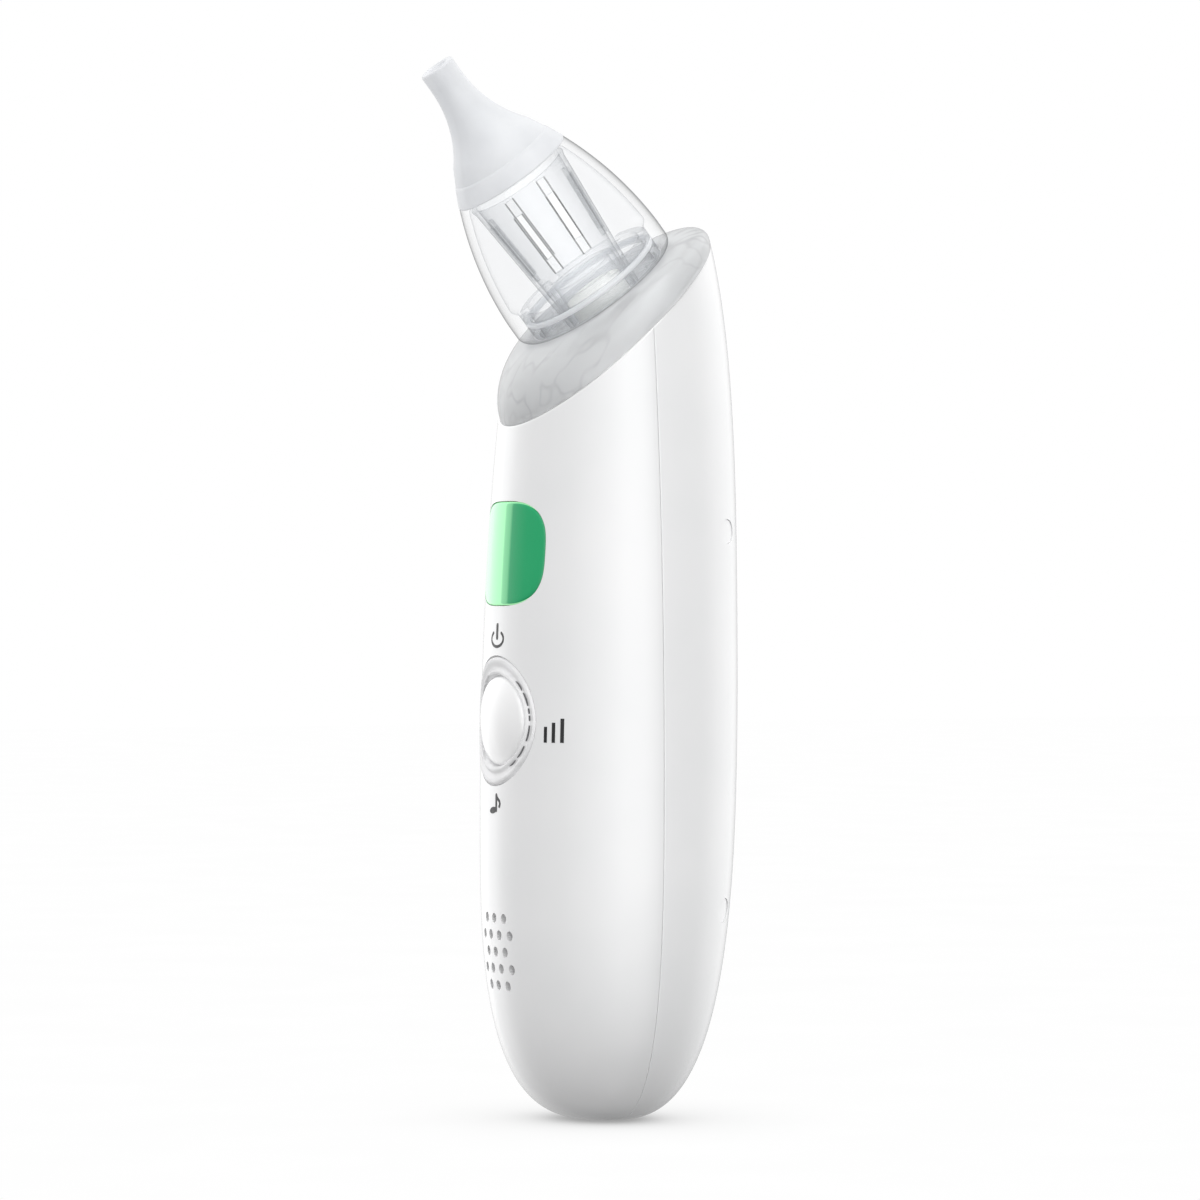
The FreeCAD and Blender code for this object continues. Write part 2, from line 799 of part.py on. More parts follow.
def build_rotor():
    """Shaft with the three-pole armature and the commutator pressed on it."""
    shaft_long = 39.5
    shaft_below = 2.9
    finish(cylinder("motor_shaft", shaft_radius, shaft_long, 0, motor_back, motor_foot - shaft_below))
    core_radius = 8.7
    core_tall = 18
    slot_wide = 1.6
    slot_start = 3.2
    core = tube("armature_core", core_radius, shaft_radius, core_tall)
    slots = [spun(bar(f"armature_slot_{pole}", slot_wide, core_radius, core_tall + 2), 120 * pole,
                  -slot_wide / 2, slot_start, -1) for pole in range(3)]
    finish(at_motor(cut("armature", core, slots), motor_foot + 5))
    finish(at_motor(tube("commutator", 3, shaft_radius, 2.6), motor_foot + 1.6))


# ---------------------------------------------------------------- pump

BELL_OUT = 6.6
BELLS = 3
DECK_BASE = 10.0
BOSS_FOOT = 9.15
SPIGOT_FOOT = 12.1
SPIGOT_TOP = 7.5


def build_pump():
    """Diaphragm pump in a stack on the motor: base, eccentric, swash plate, diaphragm, valves, cover."""
    foot = motor_foot + motor_length + GLUE
    build_pump_drive(foot)
    build_diaphragm(foot)
    valve_foot = foot + DECK_BASE + 1.2 + GLUE
    valve_thick = 2.8
    port_radius = 0.9
    disc = tube("valve_disc", pump_radius, port_bore, valve_thick)
    ports = [spun(cylinder(f"valve_port_{port}", port_radius, 2 * valve_thick), 60 * port, BELL_OUT, 0, -1)
             for port in range(2 * BELLS)]
    finish(at_motor(cut("valve_plate", disc, ports), valve_foot))
    edge = 1.4
    cover_top = 4.0
    neck_low = 5.0
    neck_high = 10.5
    cover = turned("pump_cover", [(port_bore, 0), (pump_radius, 0),
                                  (pump_radius, cover_top - edge, edge, -1),
                                  (pump_radius - edge, cover_top), (2 * spigot_radius, cover_top),
                                  (spigot_radius, neck_low), (spigot_radius, neck_high),
                                  (port_bore, neck_high)])
    finish(at_motor(cover, valve_foot + valve_thick + GLUE))


def build_pump_drive(foot):
    """Cup-shaped base with the eccentric and the three-armed swash plate it drives."""
    skin = 1.2
    floor = 1.6
    inner = pump_radius - skin
    hub = CAN_BOSS + gap
    base = turned("pump_base", [(hub, 0), (pump_radius, 0), (pump_radius, DECK_BASE), (inner, DECK_BASE),
                                (inner, floor), (hub, floor)])
    finish(at_motor(base, foot))
    disc = tube("eccentric_disc", 5, shaft_radius, 2.6)
    pin = cylinder("eccentric_pin", 0.6, 4.4, 1.9, 0, 2.2)
    finish(at_motor(fuse("eccentric", [disc, pin]), foot + 2.4))
    ring_bore = 3.0
    ring = tube("swash_hub", 4.2, ring_bore, 2.2)
    arms = [spun(cylinder(f"swash_arm_{arm}", 2.9, 1.2), 120 * arm, BELL_OUT, 0, 1) for arm in range(BELLS)]
    hollow = cylinder("swash_hollow", ring_bore, 6, 0, 0, -1)
    finish(at_motor(cut("swash_plate", fuse("swash_blank", [ring] + arms), [hollow]), foot + 5.8))


def build_diaphragm(foot):
    """Rubber sheet with a small bell under each pumping chamber."""
    sheet = cylinder("diaphragm_sheet", pump_radius - 0.3, 1.2, 0, 0, DECK_BASE)
    bell_tall = 2.0
    bells = []
    for number in range(BELLS):
        bell = doc.addObject("Part::Cone", f"diaphragm_bell_{number}")
        bell.Radius1 = 2.4
        bell.Radius2 = 3.6
        bell.Height = bell_tall
        bells.append(spun(bell, 120 * number, BELL_OUT, 0, DECK_BASE - bell_tall + GLUE))
    finish(at_motor(fuse("diaphragm", [sheet] + bells), foot))


def head_point(along):
    """A place on the head axis, measured up from the seat."""
    lean = math.radians(head_lean.number)
    return Vector(0, seat_back.number - along * math.sin(lean), seat_height.number + along * math.cos(lean))


def build_suction_tube():
    """Silicone tube from the pump's inlet to the spigot under the deck."""
    low = Vector(0, motor_back.number, 109.4)
    bend_low = Vector(0, motor_back.number, 115)
    bend_high = head_point(-SPIGOT_FOOT - 0.1)
    high = head_point(-BOSS_FOOT - GLUE)
    pull = 16
    bend = Part.BSplineCurve()
    bend.interpolate([bend_low, bend_high], InitialTangent=Vector(0, 0, pull),
                     FinalTangent=(high - bend_high).normalize() * pull)
    path = Part.Wire([Part.makeLine(low, bend_low), bend.toShape(), Part.makeLine(bend_high, high)])
    tube_wall = 1.2
    stretch = 0.01
    rings = [Part.Wire([Part.makeCircle(radius, low, Vector(0, 0, 1))])
             for radius in (spigot_radius.number + tube_wall, spigot_radius.number + stretch)]
    mouth = Part.makeFace(rings, "Part::FaceMakerBullseye")
    part = doc.addObject("Part::Feature", "suction_tube")
    part.Shape = path.makePipe(mouth)
    finish(part)


# ---------------------------------------------------------------- head

LOCK_TURN = 40
LUG_ANGLES = (90, 210, 330)
COLLAR_STEPS = (0, 18, 36, 54, 70, 82)
COLLAR_INSET = 0.15


def rim_end(front):
    """Where the leaning rim plane meets the outside of the body, at the front or the back."""
    low, high = (100.0, rim_height.number) if front else (rim_height.number, 156.0)
    slope = math.tan(math.radians(rim_lean.number))
    for _step in range(50):
        height = (low + high) / 2
        if front:
            back = -front_depth.number * swell(height, front_height.number, 1, front_fall.number, 2)
        else:
            back = rear_depth.number * swell(height, rear_height.number, 1, rear_fall.number, OVAL_POWER)
        above = rim_height.number + slope * back > height
        low, high = (height, high) if above else (low, height)
    return Vector(0, back, height)


def collar_skin(name, inset):
    """Shallow dome from the slanted rim up to the round seat; the inset shrinks it all round."""
    front = rim_end(True)
    back = rim_end(False)
    middle = (front + back) * 0.5
    rim_long = (back - front).Length / 2 - COLLAR_INSET
    rim_wide = half_width.number * swell(middle.z, widest_height.number, 1, width_fall.number, 2)
    rim_wide = rim_wide - COLLAR_INSET
    seat = head_point(-inset)
    last = math.radians(COLLAR_STEPS[-1])
    rings = []
    for step in COLLAR_STEPS:
        angle = math.radians(step)
        rise = math.sin(angle) / math.sin(last)
        spread = (math.cos(angle) - math.cos(last)) / (1 - math.cos(last))
        long_half = seat_radius.number + (rim_long - seat_radius.number) * spread - inset
        wide_half = seat_radius.number + (rim_wide - seat_radius.number) * spread - inset
        lean = rim_lean.number + (head_lean.number - rim_lean.number) * rise
        ring = oval(wide_half, long_half, 0)
        ring.Placement = Placement(middle + (seat - middle) * rise, Rotation(Vector(1, 0, 0), lean))
        rings.append(ring)
    part = doc.addObject("Part::Feature", name)
    part.Shape = Part.makeLoft(rings, True)
    return part


def build_collar():
    """Clear collar with a round opening and three slots that the cup's lugs drop through."""
    below = 10
    slot_wide = 4.6
    slot_start = 8.5
    hole = cylinder("collar_opening", collar_hole, 2 * below)
    slots = [spun(bar(f"lug_slot_{number}", 5, slot_wide, 2 * below), angle + LOCK_TURN, slot_start,
                  -slot_wide / 2) for number, angle in enumerate(LUG_ANGLES)]
    opening = on_head(fuse("collar_openings", [hole] + slots), -below)
    outside = collar_skin("collar_outside", 0)
    finish(cut("head_collar", outside, [collar_skin("collar_inside", plate.number), opening]))


def build_deck():
    """White deck that closes the shells, with the suction port standing on it."""
    inset = wall + 0.1
    front = common("deck_front", front_hull("deck_front_hull", inset), front_half("deck_front_side"))
    rear = common("deck_rear", rear_hull("deck_rear_hull", inset), rear_half("deck_rear_side"))
    slab = rim_slab("deck_slab", -wall, wall)
    disc = common("deck_disc", fuse("deck_filling", [front, rear]), slab)
    boss = on_head(cylinder("deck_boss", 6, 4.2), -BOSS_FOOT)
    spigot = on_head(cylinder("deck_spigot", spigot_radius, SPIGOT_FOOT - SPIGOT_TOP), -SPIGOT_FOOT)
    bore = on_head(cylinder("deck_bore", port_bore, 20), -18)
    finish(cut("deck_plate", fuse("deck_solid", [disc, boss, spigot]), [bore]))


PLUG_FOOT = 4.2
FLOOR_TOP = 2.8
GROOVE_LOW = 2.05
GROOVE_HIGH = 3.15
RIM_TOP = 4.6


def rim_outer():
    return cup_radius - cup_wall - 1.05


def build_head_seals():
    """Inlet gasket on the deck, seal ring in the base's groove and the filter sponge."""
    gasket_thick = 0.68
    gasket = tube("inlet_gasket", 5.4, 2.6, gasket_thick, 0, 0, -PLUG_FOOT - gap - gasket_thick)
    finish(on_head(gasket))
    cord = 0.48
    seal = doc.addObject("Part::Torus", "base_seal")
    bind(seal, "Radius1", rim_outer() - 1 + cord + gap)
    seal.Radius2 = cord
    finish(on_head(seal, (GROOVE_LOW + GROOVE_HIGH) / 2))
    finish(on_head(cylinder("filter_sponge", 5.3, 4), 0.1 - FLOOR_TOP))


def build_cup_base():
    """Twist-lock base of the cup: plug, three lugs, seal groove, notched rim and sleeve spigot."""
    drain = 2
    plug = collar_hole - 0.08
    outer = rim_outer()
    groove = outer - 1
    inner = outer - 1.5
    holder_inner = 5.4
    holder_outer = 6.4
    holder_top = 5
    corners = [(drain, -PLUG_FOOT), (plug, -PLUG_FOOT), (plug, gap), (outer, gap), (outer, GROOVE_LOW),
               (groove, GROOVE_LOW), (groove, GROOVE_HIGH), (outer, GROOVE_HIGH), (outer, RIM_TOP),
               (inner, RIM_TOP), (inner, -FLOOR_TOP), (holder_outer, -FLOOR_TOP), (holder_outer, holder_top),
               (holder_inner, holder_top), (holder_inner, -FLOOR_TOP), (drain, -FLOOR_TOP)]
    blank = turned("cup_base_blank", corners)
    lug_wide = 4
    lug_low = 3.2
    lugs = [spun(bar(f"lug_{number}", 2.4, lug_wide, 1.5), angle, 10.8, -lug_wide / 2, -lug_low)
            for number, angle in enumerate(LUG_ANGLES)]
    notch_wide = 2.2
    notch_deep = 1.0
    notches = [spun(bar(f"rim_notch_{number}", 4, notch_wide, 2 * notch_deep), 60 * number, 10,
                    -notch_wide / 2, RIM_TOP - notch_deep) for number in range(6)]
    finish(on_head(cut("cup_base", fuse("cup_base_solid", [blank] + lugs), notches)))


def build_inner_sleeve():
    """Tapered clear tube with eight narrow slots, standing on the base spigot."""
    low = gap - FLOOR_TOP
    high = 24.1
    skin = 0.65
    flare = 0.3
    slot_half = 0.85
    slot_low = 8.5
    slot_high = 20.5
    slots = 8
    body = turned("inner_sleeve", [(sleeve_foot, low), (sleeve_top, high - 1), (sleeve_top + flare, high),
                                   (sleeve_top - skin, high), (sleeve_foot - skin, low)])
    doc.recompute()
    cutter = body.newObject("Sketcher::SketchObject", "slot_outline")
    cutter.AttachmentSupport = [(origin_plane(body, "XZ_Plane"), "")]
    cutter.MapMode = "FlatFace"
    draw_outline(cutter, rectangle(slot_half, slot_low, slot_high))
    slot = body.newObject("PartDesign::Pocket", "slot")
    slot.Profile = cutter
    slot.Length = 15
    slot.Reversed = True
    around = body.newObject("PartDesign::PolarPattern", "slots_around")
    around.Originals = [slot]
    around.Axis = (cutter, ["V_Axis"])
    around.Angle = 360
    around.Occurrences = slots
    body.Tip = around
    finish(on_head(body))


WAIST_RISE = 6.2
NECK_RISE = 19.2
SHOULDER_BAND = 9.3


def throat(height, skin):
    """Radius of the curved throat at a height above the shoulder, a skin's thickness inside."""
    centre = nozzle_mouth + nozzle_curve
    reach = nozzle_curve.number + skin
    return centre.number - math.sqrt(reach ** 2 - (NECK_RISE - height) ** 2)


def bell_inside(height):
    """Radius of the bell's inner wall, which keeps its distance from the long outer curve."""
    lean = math.atan2((cup_radius - shoulder_radius).number, (cup_height - cup_straight).number)
    half_chord = (cup_height - cup_straight).number / 2 / math.cos(lean)
    back = math.sqrt(cup_curve.number ** 2 - half_chord ** 2)
    middle_radius = (cup_radius + shoulder_radius).number / 2 - back * math.cos(lean)
    middle_height = (cup_height + cup_straight).number / 2 - back * math.sin(lean)
    reach = cup_curve.number - cup_wall.number
    return middle_radius + math.sqrt(reach ** 2 - (height - middle_height) ** 2)


def build_suction_cup():
    """Clear bell with a socket for the base below and a tapered spigot for the nozzle above."""
    top = cup_height
    foot = 2 * gap
    inside = cup_radius - cup_wall
    socket = inside - 0.95
    edge = 1.9
    foot_edge = cup_radius - 1.5
    ceiling = cup_height.number - 1.5
    socket_top = 6.2
    spigot_skin = nozzle_wall.number
    bore_skin = spigot_skin + 1.0
    tip = 13.5
    corners = [(socket, foot), (foot_edge, foot, edge, -1), (cup_radius, 1.8),
               (cup_radius, cup_straight, cup_curve, -1), (shoulder_radius, top), (SHOULDER_BAND, top),
               (throat(WAIST_RISE, spigot_skin), top + WAIST_RISE, nozzle_curve + spigot_skin, 1),
               (throat(tip, spigot_skin), top + tip),
               (throat(tip, bore_skin), top + tip, nozzle_curve + bore_skin, -1),
               (throat(WAIST_RISE, bore_skin), top + WAIST_RISE),
               (8.2, top - 0.6), (bell_inside(ceiling), ceiling, cup_curve - cup_wall, 1),
               (bell_inside(socket_top), socket_top), (socket, socket_top - 1)]
    finish(on_head(turned("suction_cup", corners)))


def build_nozzle():
    """Soft silicone nozzle with a base band and a thin open mouth."""
    slack = 0.03
    base = cup_height + slack
    fit = nozzle_wall.number - slack
    corners = [(shoulder_radius, base), (SHOULDER_BAND, base + 3.3), (SHOULDER_BAND - 0.25, base + 3.6),
               (nozzle_waist, base + WAIST_RISE, nozzle_curve, 1), (nozzle_mouth, base + NECK_RISE),
               (nozzle_mouth, base + nozzle_height), (nozzle_mouth - fit, base + nozzle_height),
               (nozzle_mouth - fit, base + NECK_RISE, nozzle_curve + fit, -1),
               (throat(WAIST_RISE, fit), base + WAIST_RISE), (SHOULDER_BAND + 0.06, base)]
    finish(on_head(turned("silicone_nozzle", corners)))


# ---------------------------------------------------------------- build and write

def build_all():
    build_front_shell()
    build_rear_shell()
    build_case_screws()
    build_screw_plugs()
    build_display_window()
    build_display_module()
    build_control_ring()
    build_centre_button()
    build_switches()
    build_boards()
    build_charge_socket()
    build_speaker()
    build_battery()
    build_motor()
    build_rotor()
    build_pump()
    build_suction_tube()
    build_collar()
    build_deck()
    build_head_seals()
    build_cup_base()
    build_inner_sleeve()
    build_suction_cup()
    build_nozzle()


def write_all():
    os.makedirs("parts", exist_ok=True)
    faults = [each.Name for each in doc.Objects if {"Invalid", "Error"} & set(each.State)]
    if faults:
        raise RuntimeError(f"these objects failed: {faults}")
    for part in finished:
        shape = part.Shape
        if shape.isNull() or not shape.isValid():
            raise RuntimeError(f"{part.Label} has no sound shape")
        shape.exportStep(f"parts/{part.Label}.step")
        print(part.Label, len(shape.Solids), round(shape.Volume, 1))


build_all()
doc.recompute()
write_all()
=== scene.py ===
import json
import math

import bmesh
import bpy
import numpy as np
from mathutils import Matrix, Vector
from mathutils.bvhtree import BVHTree


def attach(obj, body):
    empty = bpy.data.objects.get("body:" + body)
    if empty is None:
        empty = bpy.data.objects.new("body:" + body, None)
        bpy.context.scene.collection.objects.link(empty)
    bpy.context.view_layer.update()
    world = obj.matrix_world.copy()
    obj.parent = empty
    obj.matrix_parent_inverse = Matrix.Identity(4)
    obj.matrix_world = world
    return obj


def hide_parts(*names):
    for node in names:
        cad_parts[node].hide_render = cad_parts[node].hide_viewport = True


# Looks for the nasal aspirator.  Shapes are worked out in millimetres and written in metres.

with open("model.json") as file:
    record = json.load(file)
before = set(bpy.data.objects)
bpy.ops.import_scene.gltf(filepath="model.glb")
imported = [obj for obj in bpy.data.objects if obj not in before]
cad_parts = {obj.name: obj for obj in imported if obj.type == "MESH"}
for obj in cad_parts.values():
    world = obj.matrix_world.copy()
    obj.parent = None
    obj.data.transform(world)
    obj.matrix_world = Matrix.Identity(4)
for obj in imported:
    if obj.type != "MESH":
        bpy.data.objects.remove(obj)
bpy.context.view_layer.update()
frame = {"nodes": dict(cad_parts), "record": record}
MM = 0.001

# ---------------------------------------------------------------- sizes, the same as the CAD's

HALF_WIDTH = 24.2
FRONT_DEPTH = 20.5
REAR_DEPTH = 22.6
WIDEST = 60.0
FRONT_WIDEST = 48.0
REAR_WIDEST = 88.0
WIDTH_FALL = 133.0
FRONT_FALL = 132.0
REAR_FALL = 79.0
WALL = 2.0
FOOT_ANGLE = math.radians(4.3)
FOOT_SHARE = math.cos(FOOT_ANGLE) ** (2 / 3)
RIM_HEIGHT = 134.0
RIM_LEAN = math.radians(42.9)
RIM_SLOPE = math.tan(RIM_LEAN)
HEAD_LEAN = math.radians(38.6)
SEAT = Vector((0, -1.13, 140.6))
HEAD = Matrix.Translation(SEAT) @ Matrix.Rotation(HEAD_LEAN, 4, "X")
WINDOW_HALF = 12.0
WINDOW_LOW = 87.5
WINDOW_HIGH = 105.0
WINDOW_POWER = 3.2
CONTROL_HEIGHT = 68.0
RING_WIDE = 11.4
RING_TALL = 10.8
BUTTON_WIDE = 8.8
BUTTON_TALL = 7.5
BUTTON_BACK = 16.2


# ---------------------------------------------------------------- the body's oval shape

def swell(height, widest, below, above, power):
    height = np.asarray(height, float)
    low = (1 - np.clip((widest - height) / below, 0, 1) ** 3) ** (1 / 3)
    high = (1 - np.clip((height - widest) / above, 0, 1) ** power) ** (1 / power)
    return np.where(height <= widest, low, high)


def half_width(height, inset=0.0):
    return (HALF_WIDTH - inset) * swell(height, WIDEST, (WIDEST - inset) / FOOT_SHARE, WIDTH_FALL, 2)


def depth(height, front, inset=0.0):
    if front:
        below = (FRONT_WIDEST - inset) / FOOT_SHARE
        return (FRONT_DEPTH - inset) * swell(height, FRONT_WIDEST, below, FRONT_FALL, 2)
    below = (REAR_WIDEST - inset) / FOOT_SHARE
    return (REAR_DEPTH - inset) * swell(height, REAR_WIDEST, below, REAR_FALL, 3)


def front_face(across, height, proud=0.0):
    """Y of the front surface at a place on the front."""
    wide = half_width(height) + proud
    deep = depth(height, True) + proud
    return -deep * np.sqrt(np.clip(1 - (np.asarray(across, float) / wide) ** 2, 0, 1))


def lip(distance, radius):
    """How far an edge is rounded back at a distance from it."""
    gap = np.clip(radius - np.asarray(distance, float), 0, radius)
    return radius - np.sqrt(radius ** 2 - gap ** 2)


# ---------------------------------------------------------------- mesh helpers

def new_object(name, points, faces, body, smooth_angle=35.0, matrix=None):
    mesh = bpy.data.meshes.new(name)
    points = np.asarray(points, float)
    if matrix is not None:
        turn = np.array(matrix.to_3x3())
        points = points @ turn.T + np.array(matrix.translation)
    mesh.from_pydata((points * MM).tolist(), [], faces)
    mesh.validate()
    finish_mesh(mesh, smooth_angle)
    obj = bpy.data.objects.new(name, mesh)
    bpy.context.scene.collection.objects.link(obj)
    if body:
        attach(obj, body)
    return obj


def finish_mesh(mesh, smooth_angle):
    bm = bmesh.new()
    bm.from_mesh(mesh)
    bmesh.ops.remove_doubles(bm, verts=bm.verts, dist=1e-7)
    bmesh.ops.recalc_face_normals(bm, faces=bm.faces)
    bm.to_mesh(mesh)
    bm.free()
    mesh.polygons.foreach_set("use_smooth", [True] * len(mesh.polygons))
    if smooth_angle:
        mesh.set_sharp_from_angle(angle=math.radians(smooth_angle))
    mesh.update()


def grid_faces(rows, columns, offset=0, wrap=False):
    """Quads of a rows by columns grid of points, row after row."""
    faces = []
    for row in range(rows - 1):
        for column in range(columns if wrap else columns - 1):
            nxt = (column + 1) % columns
            a = offset + row * columns + column
            b = offset + row * columns + nxt
            faces.append((a, b, b + columns, a + columns))
    return faces


def curve_to(start, end, radius, side, steps):
    """Points of an arc from start to just before end, bulging left of travel for side +1."""
    start = np.array(start, float)
    end = np.array(end, float)
    half = (end - start) / 2
    reach = np.linalg.norm(half)
    left = np.array([-half[1], half[0]]) / reach
    centre = start + half - left * side * math.sqrt(max(radius ** 2 - reach ** 2, 0))
    first = math.atan2(start[1] - centre[1], start[0] - centre[0])
    sweep = 2 * math.asin(min(reach / radius, 1)) * (-side)
    return [(centre[0] + radius * math.cos(first + sweep * step / steps),
             centre[1] + radius * math.sin(first + sweep * step / steps)) for step in range(steps)]


def trace(corners, steps=14):
    """Outline from (radius, height) corners; a corner with four values curves to the next one."""
    points = []
    for index, corner in enumerate(corners):
        end = corners[(index + 1) % len(corners)]
        if len(corner) == 2:
            points.append(corner)
        else:
            points.extend(curve_to(corner[:2], end[:2], corner[2], corner[3], steps))
    return points


def soften(points, radius, turn_limit=22.0, steps=4):
    """Round the sharp corners of a closed outline."""
    soft = []
    count = len(points)
    for index in range(count):
        here = np.array(points[index], float)
        before = np.array(points[index - 1], float) - here
        after = np.array(points[(index + 1) % count], float) - here
        size_before = np.linalg.norm(before)
        size_after = np.linalg.norm(after)
        cosine = float(before @ after) / max(size_before * size_after, 1e-12)
        turn = 180 - math.degrees(math.acos(max(-1, min(1, cosine))))
        if turn < turn_limit or here[0] < 1e-6:
            soft.append(tuple(here))
            continue
        cut = min(radius * math.tan(math.radians(turn) / 2), 0.42 * size_before, 0.42 * size_after)
        start = here + before / size_before * cut
        end = here + after / size_after * cut
        for step in range(steps + 1):
            share = step / steps
            soft.append(tuple((1 - share) ** 2 * start + 2 * share * (1 - share) * here
                              + share ** 2 * end))
    return soft


def turned(name, outline, body, matrix=HEAD, around=128, smooth_angle=35.0):
    """Closed piece turned about its own Z axis from a closed (radius, height) outline."""
    outline = np.array(outline, float)
    count = len(outline)
    angles = np.linspace(0, 2 * math.pi, around, endpoint=False)
    points = np.zeros((count, around, 3))
    radius = outline[:, 0][:, None] * np.ones(around)
    points[..., 0] = radius * np.cos(angles)
    points[..., 1] = radius * np.sin(angles)
    points[..., 2] = outline[:, 1][:, None]
    faces = []
    for row in range(count):
        nxt = (row + 1) % count
        if outline[row, 0] < 1e-6 and outline[nxt, 0] < 1e-6:
            continue
        for column in range(around):
            beside = (column + 1) % around
            faces.append((row * around + column, row * around + beside,
                          nxt * around + beside, nxt * around + column))
    return new_object(name, points.reshape(-1, 3), faces, body, smooth_angle, matrix)


def carve(obj, cutters):
    """Cut closed meshes out of obj and keep the result as its mesh."""
    tools = bpy.data.collections.new(obj.name + "_cutters")
    bpy.context.scene.collection.children.link(tools)
    for cutter in cutters:
        bpy.context.scene.collection.objects.unlink(cutter)
        tools.objects.link(cutter)
    step = obj.modifiers.new("carve", "BOOLEAN")
    step.operation = "DIFFERENCE"
    step.operand_type = "COLLECTION"
    step.collection = tools
    step.solver = "EXACT"
    bpy.context.view_layer.update()
    evaluated = obj.evaluated_get(bpy.context.evaluated_depsgraph_get())
    result = bpy.data.meshes.new_from_object(evaluated)
    obj.modifiers.clear()
    old = obj.data
    obj.data = result
    bpy.data.meshes.remove(old)
    for cutter in cutters:
        mesh = cutter.data
        bpy.data.objects.remove(cutter)
        bpy.data.meshes.remove(mesh)
    bpy.data.collections.remove(tools)


def rod(radius, start, end, around=40):
    """Closed cutter cylinder between two points, in millimetres."""
    start = Vector(start)
    end = Vector(end)
    turn = (end - start).to_track_quat("Z", "Y").to_matrix().to_4x4()
    place = Matrix.Translation(start) @ turn
    tall = (end - start).length
    return turned("cutter", [(0, 0), (radius, 0), (radius, tall), (0, tall)], None, place, around)


def between(first, second):
    """Closed cutter between two outlines of points that match one to one."""
    count = len(first)
    faces = [tuple(range(count)), tuple(range(2 * count - 1, count - 1, -1))]
    for index in range(count):
        nxt = (index + 1) % count
        faces.append((index, nxt, count + nxt, count + index))
    return new_object("cutter", first + second, faces, None)


def prism(outline, near, far):
    """Closed cutter prism from an (x, z) outline between two Y values, in millimetres."""
    return between([(x, near, z) for x, z in outline], [(x, far, z) for x, z in outline])


def keep_smooth(obj, master):
    """After carving, give the outer faces (the first material) the normals of the uncut surface."""
    agree = 0.7
    tree = BVHTree.FromPolygons([v.co.copy() for v in master.vertices],
                                [tuple(p.vertices) for p in master.polygons])
    mesh = obj.data
    normals = [Vector((0, 0, 0))] * len(mesh.loops)
    found = {}
    for face in mesh.polygons:
        if face.material_index != 0:
            continue
        for loop in face.loop_indices:
            vertex = mesh.loops[loop].vertex_index
            if vertex not in found:
                spot = mesh.vertices[vertex].co
                near, _normal, index, _far = tree.find_nearest(spot)
                corners = [master.vertices[i] for i in master.polygons[index].vertices]
                weight = [1 / max((c.co - near).length, 1e-7) ** 2 for c in corners]
                total = Vector((0, 0, 0))
                for share, corner in zip(weight, corners):
                    total += corner.normal * share
                found[vertex] = total.normalized()
            if found[vertex].dot(face.normal) > agree:
                normals[loop] = found[vertex]
    mesh.normals_split_custom_set(normals)


# ---------------------------------------------------------------- materials

SKIN_DEPTH = 0.00004
GEOMETRY = "NewGeometry"


def node_material(name):
    mat = bpy.data.materials.new(name)
    mat.use_nodes = True
    mat.node_tree.nodes.clear()
    return mat, mat.node_tree


def feed(tree, socket, value):
    """Give a node's input a plain value, or link another node's output to it."""
    if isinstance(value, bpy.types.NodeSocket):
        tree.links.new(value, socket)
    elif socket.type == "RGBA":
        socket.default_value = (*value, 1)
    else:
        socket.default_value = value


def add(tree, kind, *values, outlet=0, operation=None, **named):
    """Add a shader node, fed in order and by name (a space is an underscore), and return an output."""
    node = tree.nodes.new("ShaderNode" + kind)
    if operation:
        node.operation = operation
    for socket, value in zip(node.inputs, values):
        feed(tree, socket, value)
    for name, value in named.items():
        feed(tree, node.inputs[name.replace("_", " ")], value)
    return node.outputs[outlet]


def calculate(tree, operation, *values):
    return add(tree, "Math", *values, operation=operation)


def finish_material(mat, surface):
    out = mat.node_tree.nodes.new("ShaderNodeOutputMaterial")
    feed(mat.node_tree, out.inputs["Surface"], surface)
    return mat


def grain(tree, scale, detail=3.0):
    """Noise in the row frame, so its size is the same on every piece."""
    where = add(tree, GEOMETRY, outlet="Position")
    return add(tree, "TexNoise", Vector=where, Scale=scale, Detail=detail, outlet="Fac")


def remap(tree, value, low, high, new_low, new_high):
    return add(tree, "MapRange", Value=value, From_Min=low, From_Max=high, To_Min=new_low, To_Max=new_high)


def spread(tree, value, low, high):
    """Map a 0.3 to 0.7 noise value onto a range."""
    return remap(tree, value, 0.3, 0.7, low, high)


def mix_colors(tree, share, first, second):
    node = tree.nodes.new("ShaderNodeMix")
    node.data_type = "RGBA"
    for name, value in (("Factor", share), ("A", first), ("B", second)):
        feed(tree, node.inputs[name], value)
    return node.outputs["Result"]


def tint(tree, value, low, high):
    return mix_colors(tree, spread(tree, value, 0, 1), low, high)


def bump(tree, value, strength, distance):
    return add(tree, "Bump", Height=value, Strength=strength, Distance=distance)


def glossy(tree, skin, rough, strength, distance):
    """Mirror-like share of a surface, its gloss and bumps from the same fine noise."""
    return add(tree, "BsdfGlossy", Roughness=spread(tree, skin, *rough),
               Normal=bump(tree, skin, strength, distance))


